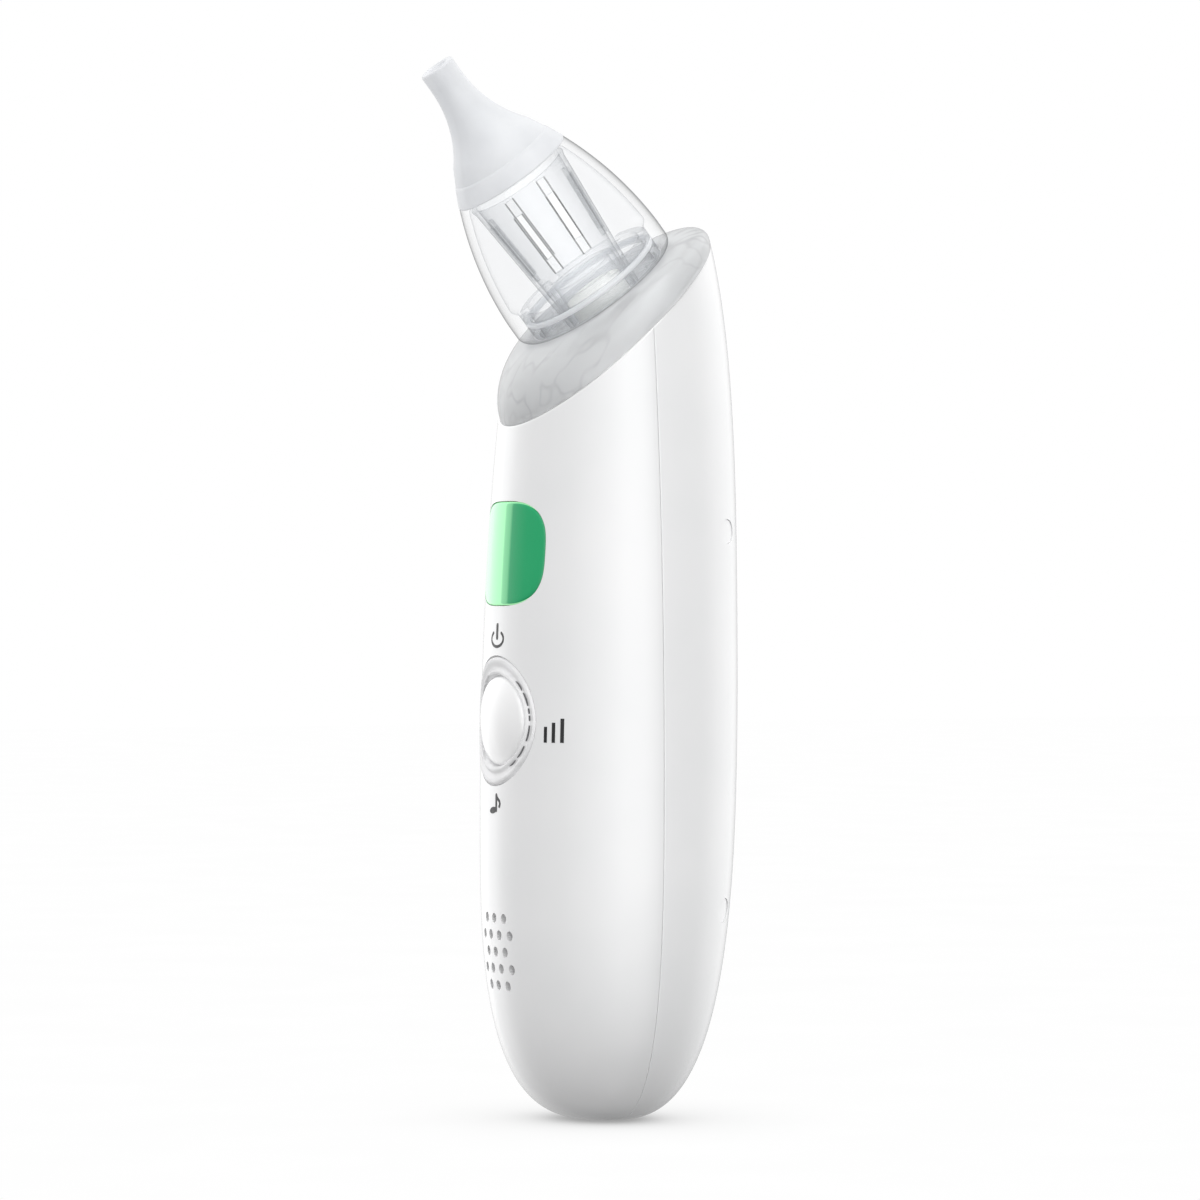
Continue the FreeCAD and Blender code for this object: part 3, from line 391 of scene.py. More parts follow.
def by_azimuth(tree, direction, table):
    """Turn a direction into a value through a table of (azimuth in degrees, value) stops."""
    x, y = (add(tree, "SeparateXYZ", direction, outlet=name) for name in "XY")
    angle = calculate(tree, "ARCTAN2", x, calculate(tree, "MULTIPLY", y, -1.0))
    share = calculate(tree, "MULTIPLY_ADD", angle, 0.5 / math.pi, 0.5)
    highest = max(value for _azimuth, value in table)
    ramp = tree.nodes.new("ShaderNodeValToRGB")
    stops = ramp.color_ramp.elements
    while len(stops) < len(table):
        stops.new(0.5)
    for stop, (azimuth, value) in zip(stops, table):
        stop.position = (azimuth + 180) / 360
        stop.color = (value / highest, value / highest, value / highest, 1)
    feed(tree, ramp.inputs[0], share)
    return calculate(tree, "MULTIPLY", ramp.outputs[0], highest)


def plastic(name, low, high, rough=(0.2, 0.3), grain_size=900, bump_strength=0.05, coat=0.0, metallic=0.0):
    """Moulded solid: slight colour drift, varied gloss and a fine moulded skin."""
    mat, tree = node_material(name)
    drift = grain(tree, 60, 2)
    skin = grain(tree, grain_size, 4)
    return finish_material(mat, add(
        tree, "BsdfPrincipled", Base_Color=tint(tree, drift, low, high), Roughness=spread(tree, skin, *rough),
        Normal=bump(tree, skin, bump_strength, SKIN_DEPTH), Metallic=metallic, Coat_Weight=coat,
        Coat_Roughness=0.04))


def skin_reflection(tree, face_on, edge_on):
    """Share of light a surface mirrors: little face on, more edge on, none from its inside."""
    steep = calculate(tree, "POWER", add(tree, "LayerWeight", Blend=0.5, outlet="Facing"), 5.0)
    share = calculate(tree, "MULTIPLY_ADD", steep, edge_on - face_on, face_on)
    outside = calculate(tree, "SUBTRACT", 1.0, add(tree, GEOMETRY, outlet="Backfacing"))
    return calculate(tree, "MULTIPLY", share, outside)


def wandering_marks(tree, amount):
    """Thin broken streaks along the slanted rim, darker on them."""
    level = tree.nodes.new("ShaderNodeVectorRotate")
    level.rotation_type = "X_AXIS"
    feed(tree, level.inputs["Angle"], -RIM_LEAN)
    feed(tree, level.inputs["Vector"], add(tree, GEOMETRY, outlet="Position"))
    stretch = add(tree, "VectorMath", level.outputs[0], (1.0, 0.16, 1.0), operation="MULTIPLY")
    noise = add(tree, "TexNoise", Vector=stretch, Scale=240, Detail=1.0, outlet="Fac")
    away = calculate(tree, "ABSOLUTE", calculate(tree, "SUBTRACT", noise, 0.5))
    line = remap(tree, away, 0.005, 0.045, 1.0, 0.0)
    broken = spread(tree, grain(tree, 170, 2), 0, amount)
    return calculate(tree, "SUBTRACT", 1.0, calculate(tree, "MULTIPLY", line, broken))


def shaded(tree, color, share):
    """A colour darkened by a share from 0 to 1."""
    return add(tree, "VectorMath", color, operation="SCALE", Scale=share)


def clear_plastic(name, face_tint, edge_shade, edge_power=2.6, milk=0.03, edge_milk=0.2,
                  body_color=(0.8, 0.82, 0.83), rough=0.05, glow=0.0, mirror=(0.04, 0.8), marks=0.0):
    """Clear moulded plastic without slow refraction: the darkening where it is seen edge on is painted shade
    in place of refraction, and its glow is painted light from an emission.
    """
    mat, tree = node_material(name)
    # painted shade: the see-through colour darkens towards the edge shade colour where the surface is seen
    # edge on
    edge = calculate(tree, "POWER", add(tree, "LayerWeight", Blend=0.5, outlet="Facing"), edge_power)
    color = mix_colors(tree, edge, face_tint, edge_shade)
    drift = tint(tree, grain(tree, 90, 2), body_color, tuple(min(1, c * 1.06) for c in body_color))
    if marks:
        share = wandering_marks(tree, marks)
        color = shaded(tree, color, share)
        drift = shaded(tree, drift, share)
    # painted light: the glow is an emission on the milky share
    body = add(tree, "AddShader", add(tree, "BsdfDiffuse", Color=drift),
               add(tree, "Emission", Color=drift, Strength=glow))
    inner = add(tree, "MixShader", calculate(tree, "MULTIPLY_ADD", edge, edge_milk, milk),
                add(tree, "BsdfTransparent", Color=color), body)
    shine = glossy(tree, grain(tree, 500, 3), (rough * 0.7, rough * 1.3), 0.04, SKIN_DEPTH)
    return finish_material(mat, add(tree, "MixShader", skin_reflection(tree, *mirror), inner, shine))


WHITE_SHELL = plastic("white_shell", (0.80, 0.805, 0.81), (0.83, 0.83, 0.835), (0.10, 0.16), 1400, 0.03,
                      coat=0.35)
WHITE_INSIDE = plastic("white_inside", (0.78, 0.78, 0.79), (0.82, 0.82, 0.82), (0.3, 0.42), 1200, 0.08)
WHITE_SATIN = plastic("white_satin", (0.76, 0.76, 0.77), (0.82, 0.82, 0.82), (0.35, 0.5), 1000, 0.1)
# painted light: a brighter copy of the shell's white, for the light the domed button catches
WHITE_BUTTON_LIT = plastic("white_button_lit", (0.88, 0.88, 0.885), (0.91, 0.91, 0.912), (0.10, 0.16), 1400, 0.03,
                       coat=0.35)
BLACK_PRINT = plastic("black_print", (0.004, 0.004, 0.005), (0.012, 0.012, 0.014), (0.35, 0.5), 1500, 0.1)
BLACK_PLASTIC = plastic("black_plastic", (0.012, 0.012, 0.014), (0.022, 0.022, 0.024), (0.4, 0.55), 900, 0.15)
BLACK_RUBBER = plastic("black_rubber", (0.015, 0.015, 0.017), (0.028, 0.028, 0.03), (0.6, 0.8), 700, 0.3)
BOARD = plastic("board_mask", (0.01, 0.10, 0.04), (0.015, 0.14, 0.055), (0.25, 0.4), 1600, 0.2)
STEEL = plastic("plated_steel", (0.52, 0.52, 0.54), (0.64, 0.64, 0.66), (0.22, 0.4), 1800, 0.15, metallic=1.0)
MAGNET = plastic("ferrite", (0.03, 0.03, 0.034), (0.055, 0.055, 0.06), (0.45, 0.6), 1300, 0.3, metallic=0.6)
COPPER = plastic("copper", (0.62, 0.27, 0.13), (0.78, 0.38, 0.2), (0.25, 0.4), 2000, 0.2, metallic=1.0)
BRONZE = plastic("bronze", (0.5, 0.33, 0.13), (0.62, 0.44, 0.2), (0.35, 0.5), 1500, 0.25, metallic=1.0)
FOIL = plastic("cell_film", (0.02, 0.09, 0.32), (0.03, 0.12, 0.4), (0.2, 0.35), 1200, 0.1, coat=0.4)
SPONGE = plastic("filter_foam", (0.62, 0.62, 0.58), (0.85, 0.85, 0.8), (0.8, 0.95), 2200, 0.9)
LCD = plastic("lcd_glass_face", (0.05, 0.09, 0.07), (0.07, 0.12, 0.09), (0.08, 0.14), 1200, 0.03, coat=0.6)

# painted shade: the cup's dark outline where it is seen edge on; its inside faces get a lighter one
CLEAR_CUP = clear_plastic("clear_cup", (0.985, 0.987, 0.99), (0.06, 0.063, 0.067), 6.5, 0.012, 0.0,
                          (0.86, 0.87, 0.88), 0.03, 0.0, (0.035, 0.4))
CUP_INSIDE = clear_plastic("cup_inside", (0.99, 0.992, 0.994), (0.72, 0.73, 0.74), 8.0, 0.006, 0.0,
                           (0.86, 0.87, 0.88), 0.04, 0.0, (0.012, 0.12))
# painted light and shade: a faint glow, and darkening edge on
CLEAR_INNER = clear_plastic("clear_inner", (0.975, 0.977, 0.98), (0.58, 0.59, 0.6), 3.4, 0.04, 0.06,
                            (0.84, 0.85, 0.86), 0.06, 0.08, (0.03, 0.4))
# painted shade: the sleeve's slot walls are darkened, to show as thin dark lines along the slots
SLOT_WALL_SHADE = clear_plastic("slot_wall_shade", (0.84, 0.85, 0.86), (0.02, 0.021, 0.022), 0.8, 0.06, 0.0,
                          (0.5, 0.505, 0.51), 0.08, 0.0, (0.03, 0.1))
# painted light: the ring's glow stands in for light its deep seat keeps from it; painted shade at its edges
CLEAR_RING = clear_plastic("clear_ring", (0.96, 0.96, 0.965), (0.30, 0.30, 0.31), 3.0, 0.55, 0.0,
                           (0.84, 0.84, 0.845), 0.06, 0.2, (0.06, 0.5))
RING_MARK = clear_plastic("ring_mark", (0.45, 0.45, 0.46), (0.2, 0.2, 0.21), 2.0, 0.45, 0.2,
                          (0.14, 0.14, 0.145), 0.1, 0.0, (0.05, 0.4))
# painted light and shade: a faint glow, and darkening edge on
SMOKE_COLLAR = clear_plastic("smoke_collar", (0.93, 0.935, 0.94), (0.6, 0.61, 0.62), 2.2, 0.5, 0.25,
                             (0.63, 0.635, 0.64), 0.12, 0.06, (0.04, 0.5), 0.16)


def silicone_material():
    """Translucent white silicone: milky and a little see-through; the light carried inside it is painted, a
    glow from an emission on its milky share.
    """
    mat, tree = node_material("silicone")
    skin = grain(tree, 1500, 3)
    color = tint(tree, grain(tree, 120, 3), (0.43, 0.436, 0.446), (0.47, 0.475, 0.482))
    # painted light: the emission gives the milky share a glow that stands in for light scattered inside the
    # silicone
    milk = add(tree, "AddShader", add(tree, "BsdfDiffuse", Color=color),
               add(tree, "Emission", Color=color, Strength=0.74))
    veil = add(tree, "MixShader", 0.28, milk, add(tree, "BsdfTransparent", Color=(0.93, 0.94, 0.96)))
    sheen = glossy(tree, skin, (0.32, 0.46), 0.1, 0.00003)
    return finish_material(mat, add(tree, "MixShader", skin_reflection(tree, 0.03, 0.35), veil, sheen))


WINDOW_PAINTED_REFLECTION = (
    # (azimuth seen in the gloss, share of the painted reflection), in degrees round the object
    (-180, 0.0), (-116, 0.0), (-113, 1.0), (-63, 1.0), (-61.5, 0.5), (-55, 0.4), (-52, 0.0), (180, 0.0),
)


def window_material():
    """Deep green gloss window with a painted reflection of a tall light panel: an emission strip, set by the
    reflected direction, that moves with the view.
    """
    mat, tree = node_material("green_window")
    base = add(tree, "BsdfPrincipled",
               Base_Color=tint(tree, grain(tree, 70, 2), (0.024, 0.36, 0.145), (0.029, 0.385, 0.157)),
               Roughness=spread(tree, grain(tree, 1600, 2), 0.05, 0.09), Specular_IOR_Level=0.3)
    mirrored = add(tree, "TexCoord", outlet="Reflection")
    # painted reflection: an emission strip that stands in for the mirrored light panel
    painted_reflection = add(tree, "Emission", Color=(0.30, 0.58, 0.30), Strength=by_azimuth(tree, mirrored, WINDOW_PAINTED_REFLECTION))
    return finish_material(mat, add(tree, "AddShader", base, painted_reflection))


SILICONE = silicone_material()
GREEN = window_material()

SLOT_MATERIALS = {
    "white_shell": WHITE_SHELL, "white_plastic": WHITE_SATIN, "clear_plastic": CLEAR_INNER,
    "smoke_plastic": SMOKE_COLLAR, "silicone": SILICONE, "green_window": GREEN,
    "black_plastic": BLACK_PLASTIC, "glass": LCD, "board_green": BOARD, "steel": STEEL,
    "magnet": MAGNET, "copper": COPPER, "brass": BRONZE, "foil": FOIL, "sponge": SPONGE,
    "black_rubber": BLACK_RUBBER, "paper_cone": BLACK_PLASTIC,
}


SEE_THROUGH = ("clear_plastic", "smoke_plastic", "silicone")


def paint(obj, *materials):
    obj.data.materials.clear()
    for material in materials:
        obj.data.materials.append(material)


def dress(obj, node, slot, *materials):
    """Paint a piece and let it stand for its CAD node."""
    paint(obj, *materials)
    obj.visible_shadow = slot not in SEE_THROUGH
    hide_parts(node)


def paint_cad_nodes():
    for entry in frame["record"]["subparts"]:
        node = frame["nodes"][entry["node"]]
        paint(node, SLOT_MATERIALS[entry["material_slot"]])
        node.visible_shadow = entry["material_slot"] not in SEE_THROUGH


# ---------------------------------------------------------------- shells

SEAM_STEPS = (0.035, 0.06, 0.1, 0.16, 0.3, 0.7)
RIM_STEPS = (0.0, 0.05, 0.13, 0.24, 0.4, 0.7)
LIP = 0.22
SEAM_LIP = 0.12
LOW_ROWS = 56
HIGH_ROWS = 96
HALF_COLUMNS = 72


def rim_height(swing, front, inset):
    """Height where each column of the wall meets the leaning rim plane."""
    height = np.full_like(swing, RIM_HEIGHT)
    sign = -1 if front else 1
    for _round in range(80):
        across_y = sign * depth(height, front, inset) * swing
        height = 0.5 * height + 0.5 * (RIM_HEIGHT + RIM_SLOPE * across_y)
    return height


def shell_surface(front, inset):
    """Grid of points of one half of the wall: columns go round, rows go up."""
    sign = -1 if front else 1
    angles = np.linspace(math.radians(86), 0, HALF_COLUMNS // 2)
    seam = [(step, None) for step in SEAM_STEPS]
    columns = seam + [(None, math.cos(angle)) for angle in angles]
    sides = [(1, c) for c in columns] + [(-1, c) for c in reversed(columns[:-1])]
    swing = np.array([0.0 if c[0] is not None else c[1] for _side, c in sides])
    rims = rim_height(swing, front, inset)
    for index, (_side, column) in enumerate(sides):
        if column[0] is not None:
            rims[index] = RIM_HEIGHT + RIM_SLOPE * sign * column[0]
    low = []
    for row in range(LOW_ROWS):
        angle = FOOT_ANGLE + (math.pi / 2 - FOOT_ANGLE) * row / LOW_ROWS
        share = (math.cos(angle) / math.cos(FOOT_ANGLE)) ** (2 / 3)
        low.append(WIDEST - (WIDEST - inset) * share)
    grid = []
    for row in range(-1, LOW_ROWS + HIGH_ROWS + len(RIM_STEPS)):
        line = []
        for index, (side, column) in enumerate(sides):
            if row < 0:
                line.append((0.0, sign * SEAM_STEPS[0], inset))
                continue
            if row < LOW_ROWS:
                height = low[row]
                edge = 9.0
            elif row < LOW_ROWS + HIGH_ROWS:
                top = rims[index] - RIM_STEPS[-1] - 0.6
                height = WIDEST + (top - WIDEST) * (row - LOW_ROWS) / (HIGH_ROWS - 1)
                edge = 9.0
            else:
                edge = RIM_STEPS[len(RIM_STEPS) - 1 - (row - LOW_ROWS - HIGH_ROWS)]
                height = rims[index] - edge
            rounding = 0.0 if inset else float(lip(edge, LIP))
            if column[0] is not None:
                near = column[0] * min(1.0, float(depth(height, front, inset)) / 8)
                if not inset:
                    rounding = max(rounding, float(lip(column[0] - SEAM_STEPS[0], SEAM_LIP)))
                wide = float(half_width(height, inset)) - rounding
                deep = float(depth(height, front, inset))
                y_size = min(near, deep)
                x_size = wide * math.sqrt(max(1 - (y_size / deep) ** 2, 0))
            else:
                swing_angle = math.acos(min(1.0, column[1]))
                wide = float(half_width(height, inset)) - rounding
                deep = float(depth(height, front, inset)) - rounding
                x_size = wide * math.sin(swing_angle)
                y_size = max(deep * math.cos(swing_angle), SEAM_STEPS[0])
            line.append((side * x_size, sign * y_size, height))
        grid.append(line)
    return np.array(grid)


def build_shell(name, front, node, cutters):
    outer = shell_surface(front, 0.0)
    inner = shell_surface(front, WALL)
    rows, columns = outer.shape[:2]
    points = np.concatenate([outer.reshape(-1, 3), inner.reshape(-1, 3)])
    shift = rows * columns
    faces = grid_faces(rows, columns)
    outer_count = len(faces)
    faces += grid_faces(rows, columns, shift)
    for column in range(columns - 1):
        a = (rows - 1) * columns + column
        faces.append((a, a + 1, shift + a + 1, shift + a))
    for row in range(rows - 1):
        for column in (0, columns - 1):
            a = row * columns + column
            faces.append((a, a + columns, shift + a + columns, shift + a))
    for column in range(columns - 1):
        faces.append((column, column + 1, shift + column + 1, shift + column))
    mesh = bpy.data.meshes.new(name)
    mesh.from_pydata((points * MM).tolist(), [], faces)
    for index, face in enumerate(mesh.polygons):
        face.material_index = 0 if index < outer_count else 1
    finish_mesh(mesh, 0)
    obj = bpy.data.objects.new(name, mesh)
    bpy.context.scene.collection.objects.link(obj)
    paint(obj, WHITE_SHELL, WHITE_INSIDE, WHITE_INSIDE)
    for cutter in cutters:
        cutter.data.materials.clear()
        for _slot in range(3):
            cutter.data.materials.append(WHITE_INSIDE)
        for face in cutter.data.polygons:
            face.material_index = 2
    outer_only = bpy.data.meshes.new(name + "_master")
    outer_only.from_pydata((outer.reshape(-1, 3) * MM).tolist(), [], grid_faces(rows, columns))
    finish_mesh(outer_only, 0)
    flip_outward(outer_only)
    carve(obj, cutters)
    obj.data.polygons.foreach_set("use_smooth", [True] * len(obj.data.polygons))
    obj.data.set_sharp_from_angle(angle=math.radians(40))
    keep_smooth(obj, outer_only)
    bpy.data.meshes.remove(outer_only)
    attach(obj, "case")
    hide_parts(node)


def flip_outward(mesh):
    """Make an open skin's normals point away from the body's middle line."""
    total = 0.0
    for face in mesh.polygons:
        away = Vector((face.center.x, face.center.y, 0))
        total += face.normal.dot(away)
    if total < 0:
        mesh.flip_normals()
    mesh.update()


def window_outline(grow, count=120):
    middle = (WINDOW_LOW + WINDOW_HIGH) / 2
    tall = (WINDOW_HIGH - WINDOW_LOW) / 2 + grow
    wide = WINDOW_HALF + grow
    points = []
    for step in range(count):
        angle = 2 * math.pi * step / count
        share = (abs(math.cos(angle)) ** WINDOW_POWER + abs(math.sin(angle)) ** WINDOW_POWER)
        reach = share ** (-1 / WINDOW_POWER)
        points.append((wide * reach * math.cos(angle), middle + tall * reach * math.sin(angle)))
    return points


def speaker_spots():
    """Five rows of three and four holes by turns."""
    middle = 29.0
    across = 3.4
    apart = 2.85
    for row in range(5):
        count = 3 if row % 2 == 0 else 4
        for place in range(count):
            yield across * (place - (count - 1) / 2), middle + apart * (2 - row)


def screw_spots():
    return [(side, height) for height in (36.0, 100.0) for side in (17.0, -17.0)]


def slot_cutter():
    """Cutter for the charging port: a slot with round ends, up through the foot."""
    end = 2.95
    round_end = 1.65
    outline = []
    for step in range(32):
        angle = 2 * math.pi * step / 32
        outline.append((math.copysign(end, math.cos(angle)) + round_end * math.cos(angle),
                        round_end * math.sin(angle)))
    return between([(x, y, -2.0) for x, y in outline], [(x, y, 3.0) for x, y in outline])


def build_shells():
    slack = 0.25
    outside, inside = 30, 8
    speaker_hole = 0.85
    screw_hole = 2.05
    ring_hole = [((RING_WIDE + slack) * math.cos(2 * math.pi * step / 120),
                  CONTROL_HEIGHT + (RING_TALL + slack) * math.sin(2 * math.pi * step / 120))
                 for step in range(120)]
    front_cutters = [prism(window_outline(0.12), -outside, -inside), slot_cutter(),
                     prism(ring_hole, -outside, -inside)]
    for across, height in speaker_spots():
        front_cutters.append(rod(speaker_hole, (across, -outside, height), (across, -inside, height), 28))
    build_shell("front_shell_skin", True, "front_shell", front_cutters)
    rear_cutters = [slot_cutter()]
    for side, height in screw_spots():
        rear_cutters.append(rod(screw_hole, (side, inside, height), (side, outside, height), 32))
    build_shell("rear_shell_skin", False, "rear_shell", rear_cutters)


# ---------------------------------------------------------------- display window

def build_window():
    """Curved glossy window, its edge rounded into the shell."""
    middle = (WINDOW_LOW + WINDOW_HIGH) / 2
    rings = [(0.0, -1.6), (0.0, -0.36), (-0.03, -0.2), (-0.10, -0.08), (-0.22, -0.01), (-0.4, 0.02)]
    count = 160
    points = []
    for grow, proud in rings:
        for x, z in window_outline(grow, count):
            points.append((x, float(front_face(x, z, proud)), z))
    steps = 22
    edge = window_outline(-0.4, count)
    for step in range(1, steps):
        share = 1 - step / steps
        for x, z in edge:
            px = x * share
            pz = middle + (z - middle) * share
            points.append((px, float(front_face(px, pz, 0.02)), pz))
    rows = len(rings) + steps - 1
    faces = grid_faces(rows, count, 0, True)
    centre = len(points)
    points.append((0, float(front_face(0, middle, 0.02)), middle))
    last = (rows - 1) * count
    for index in range(count):
        faces.append((last + index, last + (index + 1) % count, centre))
    back = len(points)
    points.append((0, float(front_face(0, middle, -1.6)), middle))
    for index in range(count):
        faces.append(((index + 1) % count, index, back))
    window = new_object("window_pane", points, faces, "case", 50)
    dress(window, "display_window", "green_window", GREEN)


# ---------------------------------------------------------------- controls

AROUND_CONTROL = 144


def follow_front(name, loops, body, smooth_angle=40):
    """Oval ring-shaped piece on the front.  A loop is (half width, half height, proud), or has a
    fourth value, its Y, for the loops at the back."""
    points = []
    for loop in loops:
        for step in range(AROUND_CONTROL):
            angle = 2 * math.pi * step / AROUND_CONTROL
            x = loop[0] * math.cos(angle)
            z = CONTROL_HEIGHT + loop[1] * math.sin(angle)
            y = loop[3] if len(loop) > 3 else float(front_face(x, z, loop[2]))
            points.append((x, y, z))
    faces = grid_faces(len(loops), AROUND_CONTROL, 0, True)
    last = (len(loops) - 1) * AROUND_CONTROL
    for step in range(AROUND_CONTROL):
        nxt = (step + 1) % AROUND_CONTROL
        faces.append((last + step, last + nxt, nxt, step))
    return new_object(name, points, faces, body, smooth_angle)


def build_ring():
    """Clear ring: a raised inner lip, a shallow groove and a rounded outer band."""
    ring_back = -16.6
    slack = 0.15
    outer_edge = 2.65
    profile = [(0.0, -0.75), (0.04, -0.45), (0.18, -0.12), (0.4, 0.1), (0.62, 0.12), (0.8, 0.0),
               (0.95, -0.22), (1.15, -0.3), (1.4, -0.2), (1.75, 0.08), (2.1, 0.22), (2.4, 0.18)]
    wide, tall = BUTTON_WIDE + slack, BUTTON_TALL + slack
    band = RING_WIDE - wide
    loops = [(wide, tall, 0, ring_back)]
    for out, proud in profile:
        share = out / outer_edge
        loops.append((wide + share * band, tall + share * (RING_TALL - tall), proud))
    loops.append((RING_WIDE - 0.08, RING_TALL - 0.08, -0.03))
    loops.append((RING_WIDE, RING_TALL, -0.28))
    loops.append((RING_WIDE, RING_TALL, 0, ring_back))
    ring = follow_front("clear_control_ring", loops, "ring")
    dress(ring, "control_ring", "clear_plastic", CLEAR_RING)
    build_ring_marks()


def build_ring_marks():
    """Short dark dashes in the ring's groove, either side of the button."""
    groove = 1.15
    wide, tall = BUTTON_WIDE + groove, BUTTON_TALL + groove
    half = 0.27
    points = []
    faces = []
    for side in (0, 180):
        for middle, reach in ((-54, 6), (-36, 8), (-13, 9), (4, 3), (12, 3), (26, 8), (44, 7)):
            steps = 8
            base = len(points)
            for step in range(steps + 1):
                angle = math.radians(side + middle - reach + 2 * reach * step / steps)
                slim = half * math.sin(math.pi * (0.12 + 0.76 * step / steps))
                for out, proud in ((-slim, -0.2), (slim, -0.2), (slim, -0.6), (-slim, -0.6)):
                    x = (wide + out) * math.cos(angle)
                    z = CONTROL_HEIGHT + (tall + out) * math.sin(angle)
                    points.append((x, float(front_face(x, z, proud)), z))
            for step in range(steps):
                for corner in range(4):
                    a = base + 4 * step + corner
                    b = base + 4 * step + (corner + 1) % 4
                    faces.append((a, b, b + 4, a + 4))
            faces.append((base, base + 1, base + 2, base + 3))
            end = base + 4 * steps
            faces.append((end + 3, end + 2, end + 1, end))
    marks = new_object("ring_marks", points, faces, "ring", 40)
    paint(marks, RING_MARK)
    marks.visible_shadow = False


def build_button():
    """Domed oval button with a rounded rim."""
    side = 2.9
    rise = 1.9
    dome = (BUTTON_WIDE ** 2 + rise ** 2) / (2 * rise)
    loops = [(share, 0.0, lift) for share, lift in ((0.0, 0.0), (0.4, 0.0), (0.99, 0.0), (1.0, 0.1))]
    rim = ((1.0, 0.45), (0.996, 0.3), (0.985, 0.14), (0.965, 0.04))
    loops += [(share, drop, None) for share, drop in rim]
    steps = 26
    loops += [(0.94 * (1 - step / steps), 0.0, None) for step in range(steps + 1)]
    points = []
    for share, drop, lift in loops:
        for step in range(AROUND_CONTROL):
            angle = 2 * math.pi * step / AROUND_CONTROL
            x = BUTTON_WIDE * share * math.cos(angle)
            z = BUTTON_TALL * share * math.sin(angle)
            top = side + rise - dome + math.sqrt(dome ** 2 - x * x - z * z)
            height = top - drop if lift is None else lift
            points.append((x, -BUTTON_BACK - height, CONTROL_HEIGHT + z))
    button = new_object("button_cap", points, grid_faces(len(loops), AROUND_CONTROL, 0, True), "button", 50)
    dress(button, "centre_button", "white_shell", WHITE_BUTTON_LIT)


# ---------------------------------------------------------------- printed icons

PRINT_PROUD = 0.035


def ribbon(path, width):
    """Flat printed stroke with round ends that follows an (x, z) path on the front surface."""
    path = [np.array(p, float) for p in path]
    count = len(path)
    left, right = [], []
    for index in range(count):
        ahead = path[min(index + 1, count - 1)] - path[max(index - 1, 0)]
        ahead = ahead / np.linalg.norm(ahead)
        side = np.array([-ahead[1], ahead[0]]) * width / 2
        left.append(path[index] + side)
        right.append(path[index] - side)
    flat = left + right
    faces = [(index, index + 1, count + index + 1, count + index) for index in range(count - 1)]
    for end, first in ((0, left[0]), (count - 1, right[-1])):
        centre = path[end]
        start = math.atan2(first[1] - centre[1], first[0] - centre[0])
        base = len(flat)
        for step in range(1, 8):
            angle = start + math.pi * step / 8
            flat.append(centre + width / 2 * np.array([math.cos(angle), math.sin(angle)]))
        near, far = (end, count + end) if end == 0 else (count + end, end)
        faces.append((near, *range(base, base + 7), far))
    return flat, faces


def print_on_front(name, shapes):
    """Join flat (x, z) shapes into one thin printed mark lying on the front surface."""
    points = []
    faces = []
    for flat, cells in shapes:
        shift = len(points)
        points.extend(flat)
        faces.extend(tuple(shift + i for i in cell) for cell in cells)
    count = len(points)
    top = [(p[0], float(front_face(p[0], p[1], PRINT_PROUD)), p[1]) for p in points]
    under = [(p[0], float(front_face(p[0], p[1], -0.05)), p[1]) for p in points]
    edges = {}
    for face in faces:
        for index in range(len(face)):
            pair = (face[index], face[(index + 1) % len(face)])
            key = tuple(sorted(pair))
            edges.setdefault(key, []).append(pair)
    closed = list(faces) + [tuple(count + i for i in reversed(face)) for face in faces]
    for pairs in edges.values():
        if len(pairs) == 1:
            a, b = pairs[0]
            closed.append((b, a, count + a, count + b))
    obj = new_object(name, top + under, closed, "case", 30)
    paint(obj, BLACK_PRINT)


def arc_path(cx, cz, rx, rz, start, end, steps=40):
    return [(cx + rx * math.cos(math.radians(start + (end - start) * i / steps)),
             cz + rz * math.sin(math.radians(start + (end - start) * i / steps)))
            for i in range(steps + 1)]


def build_icons():
    """Power mark, three level bars and a music note; they are a little wide, since they wrap round."""
    height = 81.95
    print_on_front("power_mark", [
        ribbon(arc_path(0, height - 0.1, 2.4, 1.32, 132, 408), 0.5),
        ribbon([(0, height + 0.1), (0, height + 1.0), (0, height + 2.15)], 0.8)])
    bars = []
    low = 64.6
    wide = 0.54
    for number, tall in enumerate((2.65, 3.35, 4.05)):
        left = 13.2 + 1.38 * number
        bars.append(([(left, low), (left + wide, low), (left + wide, low + tall), (left, low + tall)],
                     [(0, 1, 2, 3)]))
    print_on_front("level_bars", bars)
    low = 52.9
    stem = [(1.15, low), (1.15, low + 1.4), (1.15, low + 2.6)]
    flag = [(1.15, low + 2.55), (1.6, low + 2.0), (2.3, low + 1.6), (2.5, low + 1.1), (2.25, low + 0.7)]
    head = [(-0.1 + 1.35 * math.cos(2 * math.pi * i / 28) - 0.1 * math.sin(2 * math.pi * i / 28),
             low + 0.55 * math.sin(2 * math.pi * i / 28) + 0.2 * math.cos(2 * math.pi * i / 28))
            for i in range(28)]
    print_on_front("music_mark", [ribbon(stem, 0.6), ribbon(flag, 0.55),
                                  (head, [tuple(range(28))])])


# ---------------------------------------------------------------- head pieces

CUP_TOP = 25.7
THROAT_CENTRE = 23.5
THROAT_CURVE = 20.4
THROAT_END = 19.2
BELL_FOOT = (15.5, 4.5)
BELL_NECK = (10.75, CUP_TOP)
BELL_CURVE = 60.0
BELL_WALL = 1.5


def throat(height, skin):
    """Radius of the neck's hollow curve, a skin's thickness inside its outer face."""
    reach = THROAT_CURVE + skin
    return THROAT_CENTRE - math.sqrt(reach ** 2 - (THROAT_END - height) ** 2)


